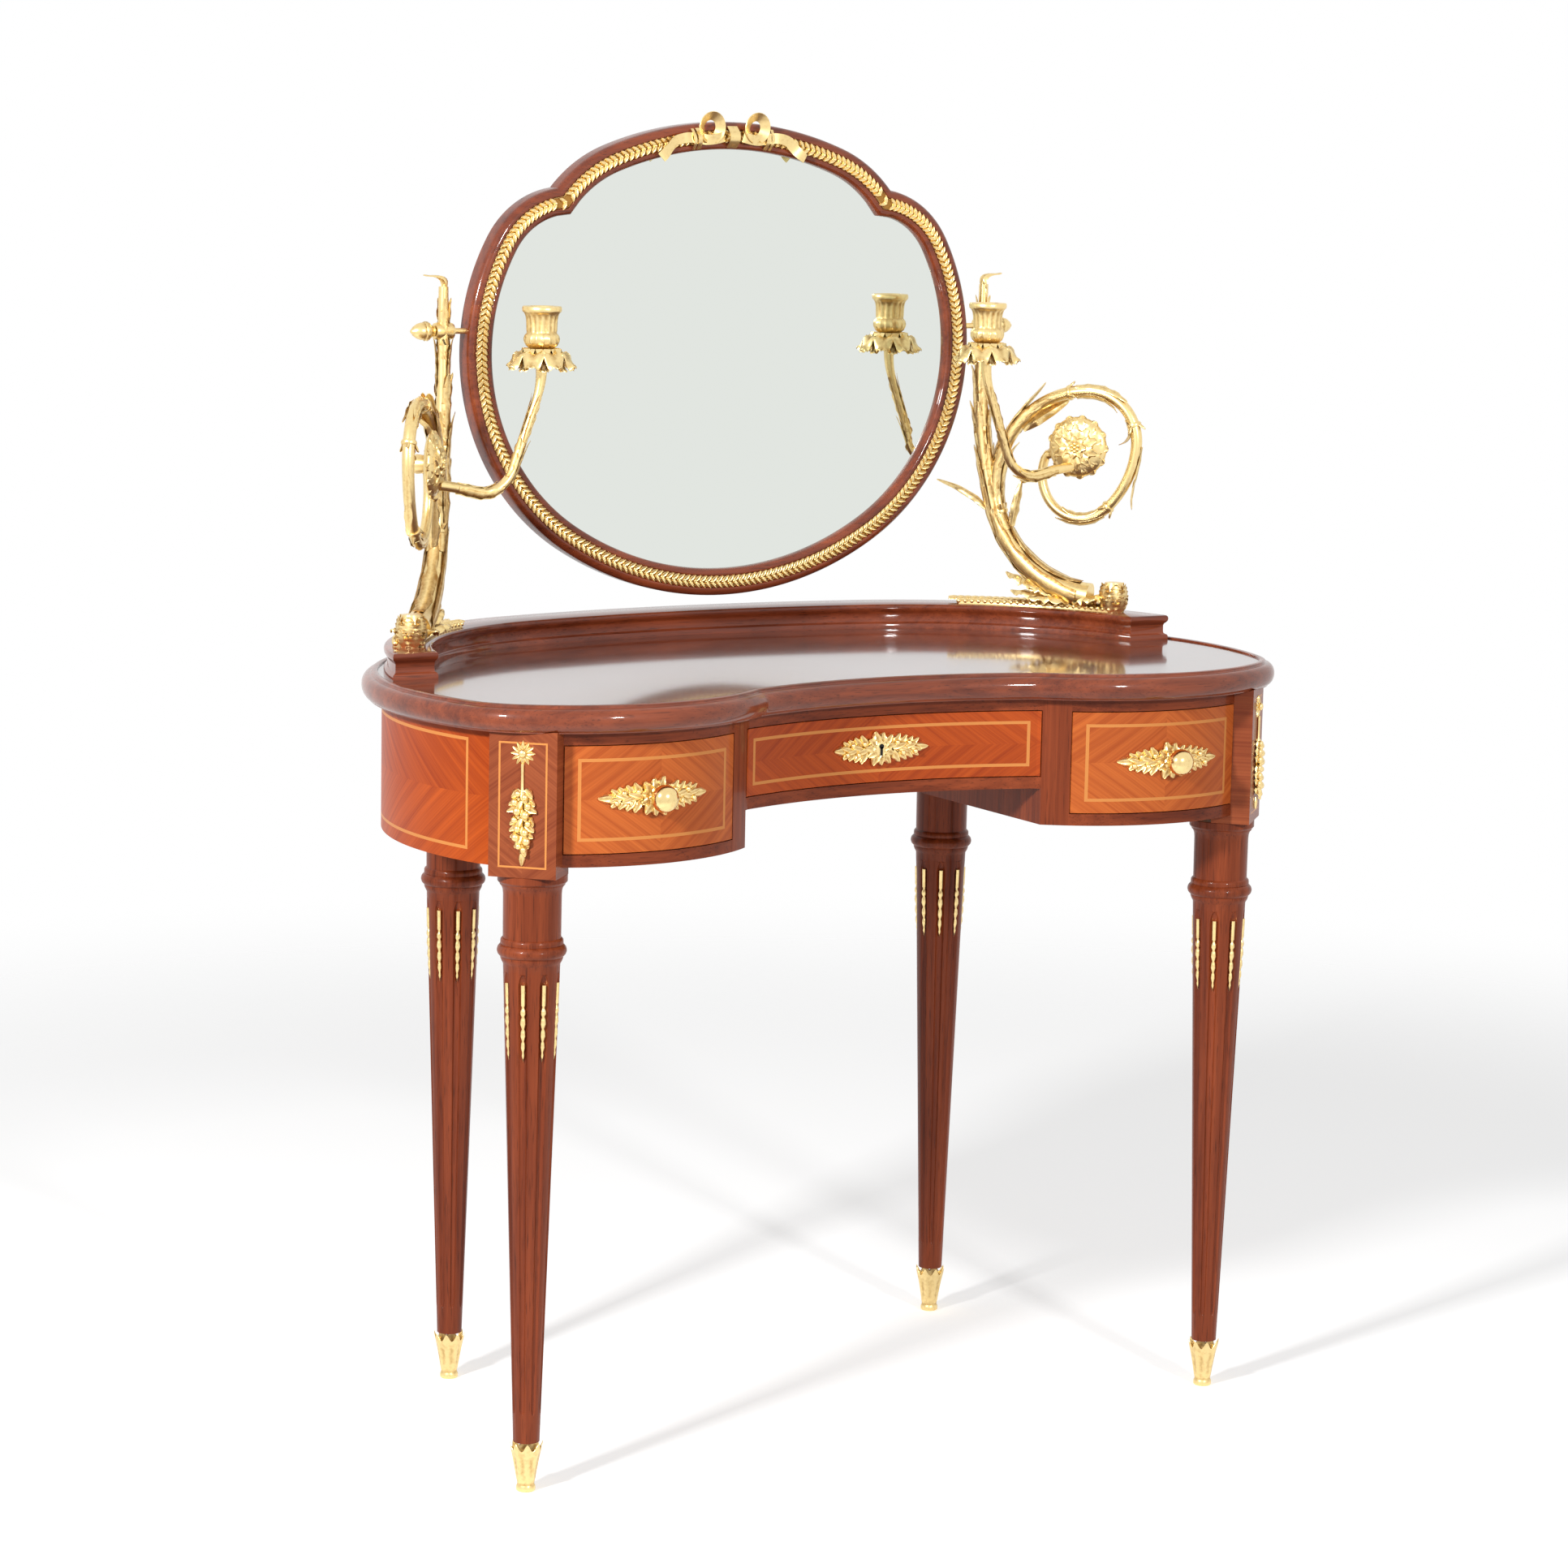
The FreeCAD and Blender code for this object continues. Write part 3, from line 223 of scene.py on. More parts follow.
leg_mahogany = plain_wood("leg_mahogany", MAHOGANY_DARK, MAHOGANY_LIGHT)
shaft_step = (FLUTE_TOP - FLUTE_BOTTOM - FOOT_START) / SHAFT_ROWS
shaft_heights = [FLUTE_TOP + FLUTE_ARCH * share for share in ARCH_ROWS]
shaft_heights += [FLUTE_TOP - row * shaft_step for row in range(1, SHAFT_ROWS + 1)]
shaft_heights += [FLUTE_BOTTOM + rise * mm for rise in FOOT_ROWS]
leg_profile = LEG_HEAD + [(shaft_radius(z) / mm, z / mm) for z in shaft_heights]
leg_profile += [(ANKLE_RADIUS / mm, ANKLE / mm), (0, ANKLE / mm)]
LEGS = ["front_left", "front_right", "back_left", "back_right"]


def leg_axis(leg):
    """The upright axis of a leg, turned so that one flute faces straight out of the plan."""
    low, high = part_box("leg_" + leg)
    turn = (BACK_FACING if leg.startswith("back") else FRONT_FACING) - math.pi / FLUTES
    turn = math.pi - turn if leg.endswith("left") else turn
    return Matrix.Translation(((low.x + high.x) / 2, (low.y + high.y) / 2, 0)) @ Matrix.Rotation(turn, 4, "Z")


for leg in LEGS:
    bm = bmesh.new()
    turning(bm, leg_profile, FLUTES * FLUTE_STEPS, leg_axis(leg), flute_shaft)
    fit("turned_leg_" + leg, bm, leg_mahogany, "table", "mahogany", "leg_" + leg)

# Sabots
# Cast and gilt bronze shoes under the legs: a crown of eight pointed leaves over a fluted cup, a narrow
# waist and a turned foot. They are pushed over the pegs of the legs.
# The second gilt colour is the painted shade in the hollows; the hollow gain and start set how much of it
# each vertex gets
GILT_HIGH = (0.93, 0.71, 0.33, 1)
GILT_SHADE = (0.4, 0.21, 0.055, 1)
CHASING_SCALE, CHASING_TONE, CHASING_STRENGTH, CHASING_DEPTH = 260, 1.1, 0.25, 0.3 * mm
HOLLOW_GAIN, HOLLOW_START, HOLLOW_ROUGHNESS = 3.4, 0.18, 0.3
BRONZE_SHARP = 50
CROWN_POINTS, CROWN_STEPS = 8, 8
CROWN_DIP, CROWN_LIP = 8 * mm, 11.5 * mm
CUP_LOW, CUP_HEIGHT, CUP_FLUTE = 9 * mm, 41 * mm, 0.06
SABOT_PROFILE = [(0, 0), (8.6, 0), (9.4, 0.9), (9.5, 2.4), (9.4, 4.6), (8.7, 5.8), (8.3, 7.2), (8.6, 9),
                 (9.3, 12), (10, 18), (11.2, 26), (12.6, 34), (13.8, 40), (14.8, 45), (15.5, 49.6),
                 (15.2, 50), (14, 46), (13.1, 40), (12, 34), (0, 34)]


def gilt_bronze(name, roughness, shade_shift=0.0):
    """Chased gilding, burnished on the high parts; painted shade darkens it where it lies hollow or sunk."""
    material, tree, shader, place = new_finish(name)
    # Painted shade: the hollow mark, plus a set shift for a whole sunk piece, blends the gold towards the
    # shade colour; the chasing noise adds random tone
    hollow = put(tree, "ShaderNodeAttribute", attribute_name="hollow").outputs["Fac"]
    grain = put(tree, "ShaderNodeTexNoise", {"Vector": place, "Scale": CHASING_SCALE, "Detail": 3}).outputs[0]
    depth = sums(tree, "MULTIPLY_ADD", grain, CHASING_TONE, shade_shift - CHASING_TONE / 2)
    depth = put(tree, "ShaderNodeClamp", {0: sums(tree, "ADD", hollow, depth)}).outputs[0]
    bump = put(tree, "ShaderNodeBump",
               {"Strength": CHASING_STRENGTH, "Distance": CHASING_DEPTH, "Height": grain})
    feed(tree, shader, {"Base Color": blend_colour(tree, depth, GILT_HIGH, GILT_SHADE), "Metallic": 1,
                        "Roughness": sums(tree, "MULTIPLY_ADD", depth, HOLLOW_ROUGHNESS, roughness),
                        "Normal": bump.outputs[0]})
    return material


def gild(name, bm, material, body, *stands_for):
    """Marks how hollow each vertex lies, for the painted shade in the gilding, and fits the bronze to its
    body.
    """
    bmesh.ops.remove_doubles(bm, verts=bm.verts, dist=WELD)
    bmesh.ops.recalc_face_normals(bm, faces=bm.faces)
    bm.normal_update()
    mark = bm.verts.layers.float.new("hollow")
    for vert in bm.verts:
        spans = [edge.other_vert(vert).co - vert.co for edge in vert.link_edges]
        slope = sum(vert.normal.dot(span.normalized()) for span in spans) / max(1, len(spans))
        vert[mark] = min(1, max(0, HOLLOW_GAIN * slope + HOLLOW_START))
    fit(name, bm, material, body, "gilt_bronze", *stands_for, sharp=BRONZE_SHARP)


matt_gilding = gilt_bronze("matt_gilding", 0.3)
burnished_gilding = gilt_bronze("burnished_gilding", 0.16)


def crown(vert):
    """Flutes the cup and cuts its lip into points."""
    angle = math.atan2(vert.co.y, vert.co.x) * CROWN_POINTS
    rise = max(0, vert.co.z - CUP_LOW) / CUP_HEIGHT
    swell = 1 + CUP_FLUTE * math.cos(angle) * min(1, 3 * rise)
    if vert.co.xy.length > CROWN_LIP:
        vert.co.z -= CROWN_DIP * max(0, rise - 0.5) * 2 * (0.5 - 0.5 * math.cos(angle)) ** 0.8
    vert.co.x *= swell
    vert.co.y *= swell


for leg in LEGS:
    bm = bmesh.new()
    turning(bm, SABOT_PROFILE, CROWN_POINTS * CROWN_STEPS, leg_axis(leg), crown)
    gild("crowned_sabot_" + leg, bm, matt_gilding, "table", "sabot_" + leg)

# Chandelles
# Gilt bronze strings of husks let into the upper ends of the flutes, thirty-two in all, each a short
# rod with beads and husks below that run to a point.
HUSKS = [(0, 0), (2.3, 0), (2.3, -20), (1.5, -21), (1.6, -23), (2.7, -25), (2.9, -28), (1.5, -31),
         (2.6, -33.5), (3, -38), (1.4, -43), (2.4, -45.5), (2.7, -50), (1.2, -55), (2, -57), (2.3, -61),
         (1, -66), (1.5, -69), (0, -76)]
HUSK_TOP, HUSK_SINK, HUSK_SIDES = 507 * mm, 1.2 * mm, 8
bm = bmesh.new()
lean = Matrix.Rotation(math.atan((SHAFT_RADIUS - ANKLE_RADIUS) / (SHAFT_TOP - ANKLE)), 4, "Y")
hung = Matrix.Translation((shaft_radius(HUSK_TOP) - HUSK_SINK, 0, HUSK_TOP)) @ lean
for leg in LEGS:
    for flute in range(FLUTES):
        turn = Matrix.Rotation((flute + 0.5) * math.tau / FLUTES, 4, "Z")
        turning(bm, HUSKS, HUSK_SIDES, leg_axis(leg) @ turn @ hung)
gild("flute_husks", bm, matt_gilding, "table", "leg_chandelles")

# Carcase
# The kidney body: mahogany posts, stiles and rails, with side and back panels bent to the plan and faced
# in quartered tulipwood inside a line of boxwood stringing. All are glued together over oak.
TULIP_DARK = (0.42, 0.072, 0.013, 1)
TULIP_LIGHT = (0.73, 0.18, 0.035, 1)
RED_TULIP_DARK = (0.34, 0.042, 0.006, 1)
RED_TULIP_LIGHT = (0.62, 0.106, 0.014, 1)
BOXWOOD = (0.76, 0.29, 0.075, 1)
OAK_DARK = (0.3, 0.17, 0.075, 1)
OAK_LIGHT = (0.5, 0.33, 0.17, 1)
STRING_INSET = 12 * mm
STRING_WIDTH = 3.1 * mm
SIDE_CENTRE = (150.7 * mm, -73.9 * mm)
SIDE_RADIUS = 320.7 * mm
SIDE_MIDDLE = math.radians(29)
SIDE_HALF_WIDTH = 268 * mm
SIDE_COAT = 0.06
VENEER_RUN, VENEER_RISE = 0.6, 0.8
QUARTER_SHIFT, QUARTER_TONE = 4 * mm, 0.07
POST_FACE = (405 * mm, -200.64 * mm)
POST_TURN = math.radians(45)
POST_HALF_WIDTH = 33.75 * mm
POST_LOW, POST_HIGH = 612 * mm, 752 * mm
POST_STRING, POST_LINE = 9.5 * mm, 1.8 * mm
POST_DARK = (0.2, 0.036, 0.012, 1)
POST_LIGHT = (0.4, 0.1, 0.034, 1)
HANDS = ((1, "right"), (-1, "left"))

# Quartered veneer about a panel's centre: grain meets in diamonds, with a string line round the edge
quartered_veneer, given, result = new_group(
    "quartered_veneer",
    [("Across", "Float"), ("Up", "Float"), ("Half Width", "Float"), ("Half Height", "Float"),
     ("Inset", "Float"), ("Line", "Float"), ("Dark", "Color"), ("Light", "Color")],
    [("Colour", "Color"), ("Relief", "Float")])
tree = quartered_veneer
across, up = given.outputs["Across"], given.outputs["Up"]
left_right = sums(tree, "ABSOLUTE", across)
up_down = sums(tree, "ABSOLUTE", up)
edge = sums(tree, "MINIMUM", sums(tree, "SUBTRACT", given.outputs["Half Width"], left_right),
            sums(tree, "SUBTRACT", given.outputs["Half Height"], up_down))
across_grain = sums(tree, "ADD", sums(tree, "MULTIPLY", left_right, VENEER_RUN),
                    sums(tree, "MULTIPLY", up_down, VENEER_RISE))
along_grain = sums(tree, "SUBTRACT", sums(tree, "MULTIPLY", left_right, VENEER_RISE),
                   sums(tree, "MULTIPLY", up_down, VENEER_RUN))
quarter = sums(tree, "MULTIPLY", sums(tree, "SIGN", across), sums(tree, "SIGN", up))
shifted = sums(tree, "MULTIPLY", quarter, QUARTER_SHIFT)
on_leaf = put(tree, "ShaderNodeCombineXYZ", {0: across_grain, 1: shifted, 2: along_grain}).outputs[0]
broad, fine, short = [drawn_noise(tree, on_leaf, stretch, detail) for stretch, detail in (
    ((160, 160, 5), 2), ((560, 560, 9), 2), ((1500, 1500, 40), 1))]
stripe = sums(tree, "MULTIPLY_ADD", broad, 1.3, -0.15)
stripe = sums(tree, "ADD", stripe, sums(tree, "MULTIPLY_ADD", fine, 1.0, -0.5))
stripe = sums(tree, "ADD", stripe, sums(tree, "MULTIPLY", quarter, QUARTER_TONE))
stripe = put(tree, "ShaderNodeClamp", {0: stripe}).outputs[0]
veneer = blend_colour(tree, stripe, given.outputs["Dark"], given.outputs["Light"])
half_line = sums(tree, "MULTIPLY", given.outputs["Line"], 0.5)
string = sums(tree, "COMPARE", edge, sums(tree, "ADD", given.outputs["Inset"], half_line), half_line)
feed(tree, result, {"Colour": blend_colour(tree, string, veneer, BOXWOOD), "Relief": short})


def veneered(name, measure, half_width, half_height, dark=TULIP_DARK, light=TULIP_LIGHT, inset=STRING_INSET,
             line=STRING_WIDTH, **polish):
    """A panel finish; measure gives the sockets for the distances across and up from the panel's centre."""
    material, tree, shader, place = new_finish(name)
    across, up = measure(tree, place)
    panel = put(tree, "ShaderNodeGroup", {
        "Across": across, "Up": up, "Half Width": half_width, "Half Height": half_height, "Inset": inset,
        "Line": line, "Dark": dark, "Light": light}, node_tree=quartered_veneer)
    feed(tree, shader, {"Base Color": panel.outputs["Colour"]})
    french_polish(tree, shader, panel.outputs["Relief"], **polish)
    return material


def flat_measure(centre, turn=0.0):
    """Distances across and up on an upright face that is turned about the height."""
    def measure(tree, place):
        moved = put(tree, "ShaderNodeVectorMath", {0: place, 1: centre}, operation="SUBTRACT").outputs[0]
        turned = put(tree, "ShaderNodeMapping", {"Vector": moved, "Rotation": (0, 0, -turn)})
        parted = put(tree, "ShaderNodeSeparateXYZ", {0: turned.outputs[0]})
        return parted.outputs[0], parted.outputs[2]
    return measure


def round_measure(hand, height):
    """Distances round the end of the table and up, from the middle of its side panel."""
    def measure(tree, place):
        parted = put(tree, "ShaderNodeSeparateXYZ", {0: place})
        out = sums(tree, "SUBTRACT", sums(tree, "MULTIPLY", parted.outputs[0], hand), SIDE_CENTRE[0])
        back = sums(tree, "SUBTRACT", parted.outputs[1], SIDE_CENTRE[1])
        angle = sums(tree, "SUBTRACT", sums(tree, "ARCTAN2", back, out), SIDE_MIDDLE)
        return sums(tree, "MULTIPLY", angle, SIDE_RADIUS), sums(tree, "SUBTRACT", parted.outputs[2], height)
    return measure


def coat_nodes(material, *names):
    """Gives CAD pieces that show as they are their finish."""
    for name in names:
        nodes[name].data.materials.clear()
        nodes[name].data.materials.append(material)


upright_mahogany = plain_wood("upright_mahogany", MAHOGANY_DARK, MAHOGANY_LIGHT)
level_mahogany = plain_wood("level_mahogany", MAHOGANY_DARK, MAHOGANY_LIGHT, grain_turn=(0, math.pi / 2, 0))
drawer_oak = plain_wood("drawer_oak", OAK_DARK, OAK_LIGHT, grain_turn=(math.pi / 2, 0, 0), roughness=0.6,
                        coat=0)
coat_nodes(upright_mahogany, "knee_panel_left", "knee_panel_right")
coat_nodes(level_mahogany, "upper_rails", "lower_rails")
coat_nodes(drawer_oak, "dust_boards", "drawer_guides", "back_block_left", "back_block_right",
           "drawer_left_box", "drawer_right_box", "drawer_centre_box", "mirror_backboard")
low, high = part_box("back_panel")
panel_height = (low.z + high.z) / 2
panel_half = (high.z - low.z) / 2
coat_nodes(veneered("back_veneer", flat_measure((0, 0, panel_height)), high.x, panel_half), "back_panel")
for hand, side in HANDS:
    coat_nodes(veneered("side_veneer_" + side, round_measure(hand, panel_height), SIDE_HALF_WIDTH, panel_half,
                        RED_TULIP_DARK, RED_TULIP_LIGHT, coat=SIDE_COAT), "side_panel_" + side)
    face = flat_measure((hand * POST_FACE[0], POST_FACE[1], (POST_LOW + POST_HIGH) / 2), hand * POST_TURN)
    coat_nodes(veneered("post_veneer_" + side, face, POST_HALF_WIDTH, (POST_HIGH - POST_LOW) / 2, POST_DARK,
                        POST_LIGHT, POST_STRING, POST_LINE), "post_" + side)

# Post drops
# Gilt bronze drops pinned to the two front posts: a daisy at the top, a plain stem, and a hanging bunch
# of leaves and small fruit that runs to a point.
LEAF_ROWS, LEAF_COLUMNS = 8, 4
LEAF_THICK = 0.7 * mm
LOBE_CUT, RIB_GROOVE = 0.2, 0.55
DAISY_Z, DAISY_PETALS = 732 * mm, 12
STEM_DROP, BUNCH_DROP = 10 * mm, 40 * mm
BUNCH_ROWS, BUNCH_STEP, BUNCH_END = 7, 8.4 * mm, 55 * mm
FORWARD = Vector((0, -1, 0))
DROP_STEM = [(0, 0), (1.8, 0), (1.5, -10), (1.7, -24), (3.2, -29), (0, -32)]


def set_along(spot, along, out):
    """A frame at a spot with its first axis along a leaf and its third out of the leaf's face."""
    along = along.normalized()
    side = out.cross(along).normalized()
    out = along.cross(side)
    return Matrix.Translation(spot) @ Matrix((along, side, out)).transposed().to_4x4()


def blade_shape(run, side, lobes):
    """At a place on a leaf: its half breadth with the lobes, the height of its two ribs and its arch."""
    spread = max(0.002, math.sin(math.pi * min(1, 0.06 + 0.94 * run) ** 0.8)) ** 0.55
    lobe = LOBE_CUT * (0.5 - 0.5 * math.cos(math.tau * lobes * run))
    rib = 1 - side * side - RIB_GROOVE * max(0, 1 - 2.5 * abs(side))
    return spread * (1 - lobe * abs(side)), rib, math.sin(math.pi * (0.12 + 0.8 * run))


def blade_of(bm, rows, thick, spot_at, place=Matrix()):
    """A leaf from a grid: spot_at gives the spot at a share of its length and a side from -1 to 1."""
    blade = bmesh.new()
    bmesh.ops.create_grid(blade, x_segments=rows, y_segments=LEAF_COLUMNS, size=1)
    for vert in blade.verts:
        vert.co = spot_at(math.sin(math.pi / 4 * (vert.co.x + 1)), vert.co.y)
    bmesh.ops.solidify(blade, geom=blade.faces[:], thickness=thick)
    join(bm, blade, place)


def leaf(bm, place, length, width, swell=0.28, curl=0.0, droop=0.0, ruffle=0.0, lobes=3, rows=LEAF_ROWS,
         thick=LEAF_THICK):
    """A chased leaf from its root along the frame's first axis, with lobed edges and a tip that may curl."""
    def spot_at(run, side):
        spread, rib, arch = blade_shape(run, side, lobes)
        bow = curl * run * run + droop * (0.7 * math.sin(math.pi * min(1, 1.15 * run)) - run ** 3)
        wave = ruffle * side * side * math.cos(math.tau * lobes * run)
        rise = width * (swell * rib + wave) * arch + length * bow
        return Vector((length * run, side * width / 2 * spread, rise))
    blade_of(bm, rows, thick, spot_at, place)


def bead(bm, spot, radius, squash=1.0):
    ball = bmesh.new()
    bmesh.ops.create_uvsphere(ball, u_segments=10, v_segments=6, radius=radius)
    join(bm, ball, Matrix.Translation(spot) @ Matrix.Diagonal((1, squash, 1, 1)))


def flat_leaf(bm, across, up, angle, length, width, lift=0.0, **shape):
    """A leaf on an upright work plane: across and up in the plane, its face towards the front."""
    turn = math.radians(angle)
    spot = Vector((across, -lift, up))
    leaf(bm, set_along(spot, Vector((math.cos(turn), 0, math.sin(turn))), FORWARD), length, width, **shape)


def post_drop():
    """The drop on its work plane, with the post's face at zero depth."""
    bm = bmesh.new()
    for petal in range(DAISY_PETALS):
        flat_leaf(bm, 0, DAISY_Z, petal * 360 / DAISY_PETALS, 12.2 * mm, 6.4 * mm, lobes=1, swell=0.35,
                  rows=6)
    bead(bm, (0, -2.6 * mm, DAISY_Z), 4.2 * mm, 0.7)
    turning(bm, DROP_STEM, 8, Matrix.Translation((0, -1.2 * mm, DAISY_Z - STEM_DROP)))
    head = DAISY_Z - BUNCH_DROP
    shape = {"lobes": 2, "rows": 6}
    for row in range(BUNCH_ROWS):
        level = head - row * BUNCH_STEP
        breadth = 9 * mm * math.sin(math.pi * (0.3 + 0.09 * row)) + 2.6 * mm
        for hand in (-1, 1):
            turn = -90 + hand * (46 + 12 * (row % 3))
            flat_leaf(bm, hand * breadth * 0.25, level + 5 * mm, turn, breadth * 1.1, 10 * mm, lift=1 * mm,
                      curl=0.1, ruffle=0.1, **shape)
            berry_x = hand * breadth * (0.6 if row % 2 else 0.35)
            bead(bm, (berry_x, -4.4 * mm, level - hand * 1.6 * mm), (3.3 + 0.5 * (row % 3)) * mm)
        flat_leaf(bm, 0, level + 3 * mm, -90 + 24 * (-1) ** row, 12 * mm, 9.5 * mm, lift=3.6 * mm,
                  curl=0.12, ruffle=0.1, **shape)
    flat_leaf(bm, 0, head - BUNCH_END, -90, 13 * mm, 8 * mm, lift=1 * mm, **shape)
    return bm


for hand, side in HANDS:
    bm = post_drop()
    turn = Matrix.Rotation(hand * POST_TURN, 4, "Z")
    face = Matrix.Translation((hand * POST_FACE[0], POST_FACE[1], 0)) @ turn
    bmesh.ops.transform(bm, matrix=face @ Matrix.Translation((0, -POST_HALF_WIDTH, 0)), verts=bm.verts)
    gild("fruit_drop_" + side, bm, matt_gilding, "table", "post_mount_" + side)

# Side drawers
# Bowed fronts veneered like the sides, each with a spray of laurel leaves round a plain ball knob. The
# spray is cast bronze pinned to the front, and the knob's screw passes through it.
LOBE_CENTRE = (306.5 * mm, -42.64 * mm)
LOBE_FACE = 209.5 * mm
MOUNT_X, MOUNT_Z = 300 * mm, 687 * mm
SPRAY_REACH, SPRAY_CROWN, SPRAY_STEPS = 60 * mm, 21 * mm, 4
WREATH_LEAVES, WREATH_TURN = 11, 13
KNOB_PROFILE = [(0, 0), (8, 0), (7.2, 1.4), (6.8, 3), (8.6, 4.4), (11.4, 6.8), (13.2, 10.2), (13.6, 13.6),
                (13, 17.6), (11.2, 21), (8, 23.6), (4, 25.2), (0, 25.6)]
TO_FRONT = Matrix.Rotation(math.pi / 2, 4, "X")


def laurel_spray(reach, crown):
    """Two leafy branches from the middle with a wreath of leaves between them, on its work plane."""
    bm = bmesh.new()
    shape = {"lobes": 2, "rows": 7}
    for hand in (1, -1):
        straight = 0 if hand > 0 else 180
        for step in range(SPRAY_STEPS):
            run = reach * (0.26 + 0.5 * step / SPRAY_STEPS)
            size = (1 - 0.3 * step / SPRAY_STEPS) * mm
            sway = (-1) ** step
            for slant in (1, -1):
                turn = straight + hand * slant * (56 - 6 * step)
                flat_leaf(bm, hand * run, slant * 1.6 * mm, turn, 15.5 * size, 11 * size, lift=0.5 * mm,
                          curl=0.08, ruffle=0.1, **shape)
            flat_leaf(bm, hand * run, 0, straight + 16 * sway, 16 * size, 10 * size, lift=2.8 * mm, **shape)
            bead(bm, (hand * (run + 5 * mm), -3.6 * mm, sway * 5.6 * size), 2.8 * mm)
        flat_leaf(bm, hand * reach * 0.72, 0, straight, reach * 0.28, 11 * mm, lift=1 * mm, **shape)
    for petal in range(WREATH_LEAVES):
        angle = petal * 360 / WREATH_LEAVES + WREATH_TURN
        flat_leaf(bm, 0, 0, angle, crown * (1 if petal % 2 else 0.88), 14 * mm, lift=1.6 * mm, curl=0.06,
                  ruffle=0.12, lobes=3, rows=9)
    return bm


def bent_to_lobe(bm, hand):
    """Lays the flat spray on the bowed front of one side drawer."""
    for vert in bm.verts:
        out = -vert.co.y
        x = MOUNT_X + vert.co.x
        y = LOBE_CENTRE[1] - math.sqrt((LOBE_FACE + out) ** 2 - (x - LOBE_CENTRE[0]) ** 2)
        vert.co = Vector((hand * x, y, MOUNT_Z + vert.co.z))


for hand, side in HANDS:
    body = "drawer_" + side
    low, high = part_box(body + "_front")
    middle = (low + high) / 2
    coat_nodes(veneered(body + "_veneer", flat_measure(middle), (high.x - low.x) / 2, (high.z - low.z) / 2),
               body + "_front")
    bm = laurel_spray(SPRAY_REACH, SPRAY_CROWN)
    bent_to_lobe(bm, hand)
    gild("laurel_spray_" + side, bm, matt_gilding, body, body + "_mount")
    bm = bmesh.new()
    low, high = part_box(body + "_knob")
    turning(bm, KNOB_PROFILE, 32, Matrix.Translation(((low.x + high.x) / 2, high.y, MOUNT_Z)) @ TO_FRONT)
    gild("ball_knob_" + side, bm, burnished_gilding, body, body + "_knob")

# Centre drawer
# The hollow-curved front over the kneehole, veneered like the others, with a leafy bronze escutcheon round
# its keyhole. The steel lock case is let into the back of the front, and its bolt shoots upwards.
KNEE_CENTRE_Y = -650.14 * mm
KNEE_FACE = 480 * mm
ESCUTCHEON_Z = 705 * mm
ESCUTCHEON_REACH, ESCUTCHEON_CROWN = 55 * mm, 19 * mm
CENTRE_STRING = 10 * mm
BOSS_PROFILE = [(0, 4.6), (5, 4.6), (8, 4), (9.4, 2), (9.6, 0), (0, 0)]
BOSS_OVAL = Matrix.Diagonal((0.8, 1.1, 1, 1))
KEY_RADIUS, KEY_RISE, KEY_LIFT = 2.6, 2.4 * mm, 4.9 * mm
SLIT_SIZE = (2.6 * mm, 0.5 * mm, 9 * mm)
low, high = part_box("drawer_centre_front")
middle = (low + high) / 2
coat_nodes(veneered("drawer_centre_veneer", flat_measure(middle), high.x, (high.z - low.z) / 2,
                    RED_TULIP_DARK, RED_TULIP_LIGHT, CENTRE_STRING),
           "drawer_centre_front")
lock_steel, tree, shader, place = new_finish("lock_steel")
filed = drawn_noise(tree, place, (30, 900, 900), 2)
feed(tree, shader, {"Base Color": (0.46, 0.45, 0.43, 1), "Metallic": 1,
                    "Roughness": sums(tree, "MULTIPLY_ADD", filed, 0.3, 0.25)})
coat_nodes(lock_steel, "lock_case", "lock_bolt")
bm = laurel_spray(ESCUTCHEON_REACH, ESCUTCHEON_CROWN)
turning(bm, BOSS_PROFILE, 24, TO_FRONT @ BOSS_OVAL)
for vert in bm.verts:
    out = -vert.co.y
    vert.co.y = KNEE_CENTRE_Y + math.sqrt((KNEE_FACE - out) ** 2 - vert.co.x ** 2)
    vert.co.z += ESCUTCHEON_Z
gild("leaf_escutcheon", bm, matt_gilding, "drawer_centre", "escutcheon")
# The keyhole is a near-black disc and slit laid on the escutcheon: painted shade where the hole shows the
# dark inside
keyhole_painted_shade, tree, shader, place = new_finish("keyhole_painted_shade")
feed(tree, shader, {"Base Color": (0.006, 0.004, 0.003, 1), "Roughness": 0.9})
bm = bmesh.new()
turning(bm, [(0, 0.25), (KEY_RADIUS, 0.25), (KEY_RADIUS, 0), (0, 0)], 20,
        Matrix.Translation((0, 0, KEY_RISE)) @ TO_FRONT)
slit = bmesh.ops.create_cube(bm, size=1)["verts"]
bmesh.ops.scale(bm, vec=SLIT_SIZE, verts=slit)
bmesh.ops.translate(bm, vec=(0, 0, -KEY_RISE), verts=slit)
bmesh.ops.translate(bm, vec=(0, KNEE_CENTRE_Y + KNEE_FACE - KEY_LIFT, ESCUTCHEON_Z), verts=bm.verts)
fit("keyhole", bm, keyhole_painted_shade, "drawer_centre", "steel")

# Top
# A kidney-shaped field of quartered veneer, polished to a mirror, inside a mahogany edge moulding: a flat
# rim, a small step and a full rounded nose with an undercut. The moulding is bent and glued round the field.
KNEE_RADIUS = 476 * mm
LOBE_RADIUS = 213.5 * mm
SHOULDER_RADIUS = 84 * mm
END_RADIUS = 324.7 * mm
LOBE_ANGLE, SHOULDER_ANGLE, BACK_ANGLE = math.radians(-56), math.radians(-18.4), math.radians(78.5)
NOSE = 16.3 * mm
CHORD = 7 * mm
MOULDING_SHARP = 28
UNSTRUNG = 2.0
TOP_DARK = (0.07, 0.015, 0.008, 1)
TOP_LIGHT = (0.2, 0.055, 0.026, 1)
UP, ASIDE = Vector((0, 0, 1)), Vector((1, 0, 0))
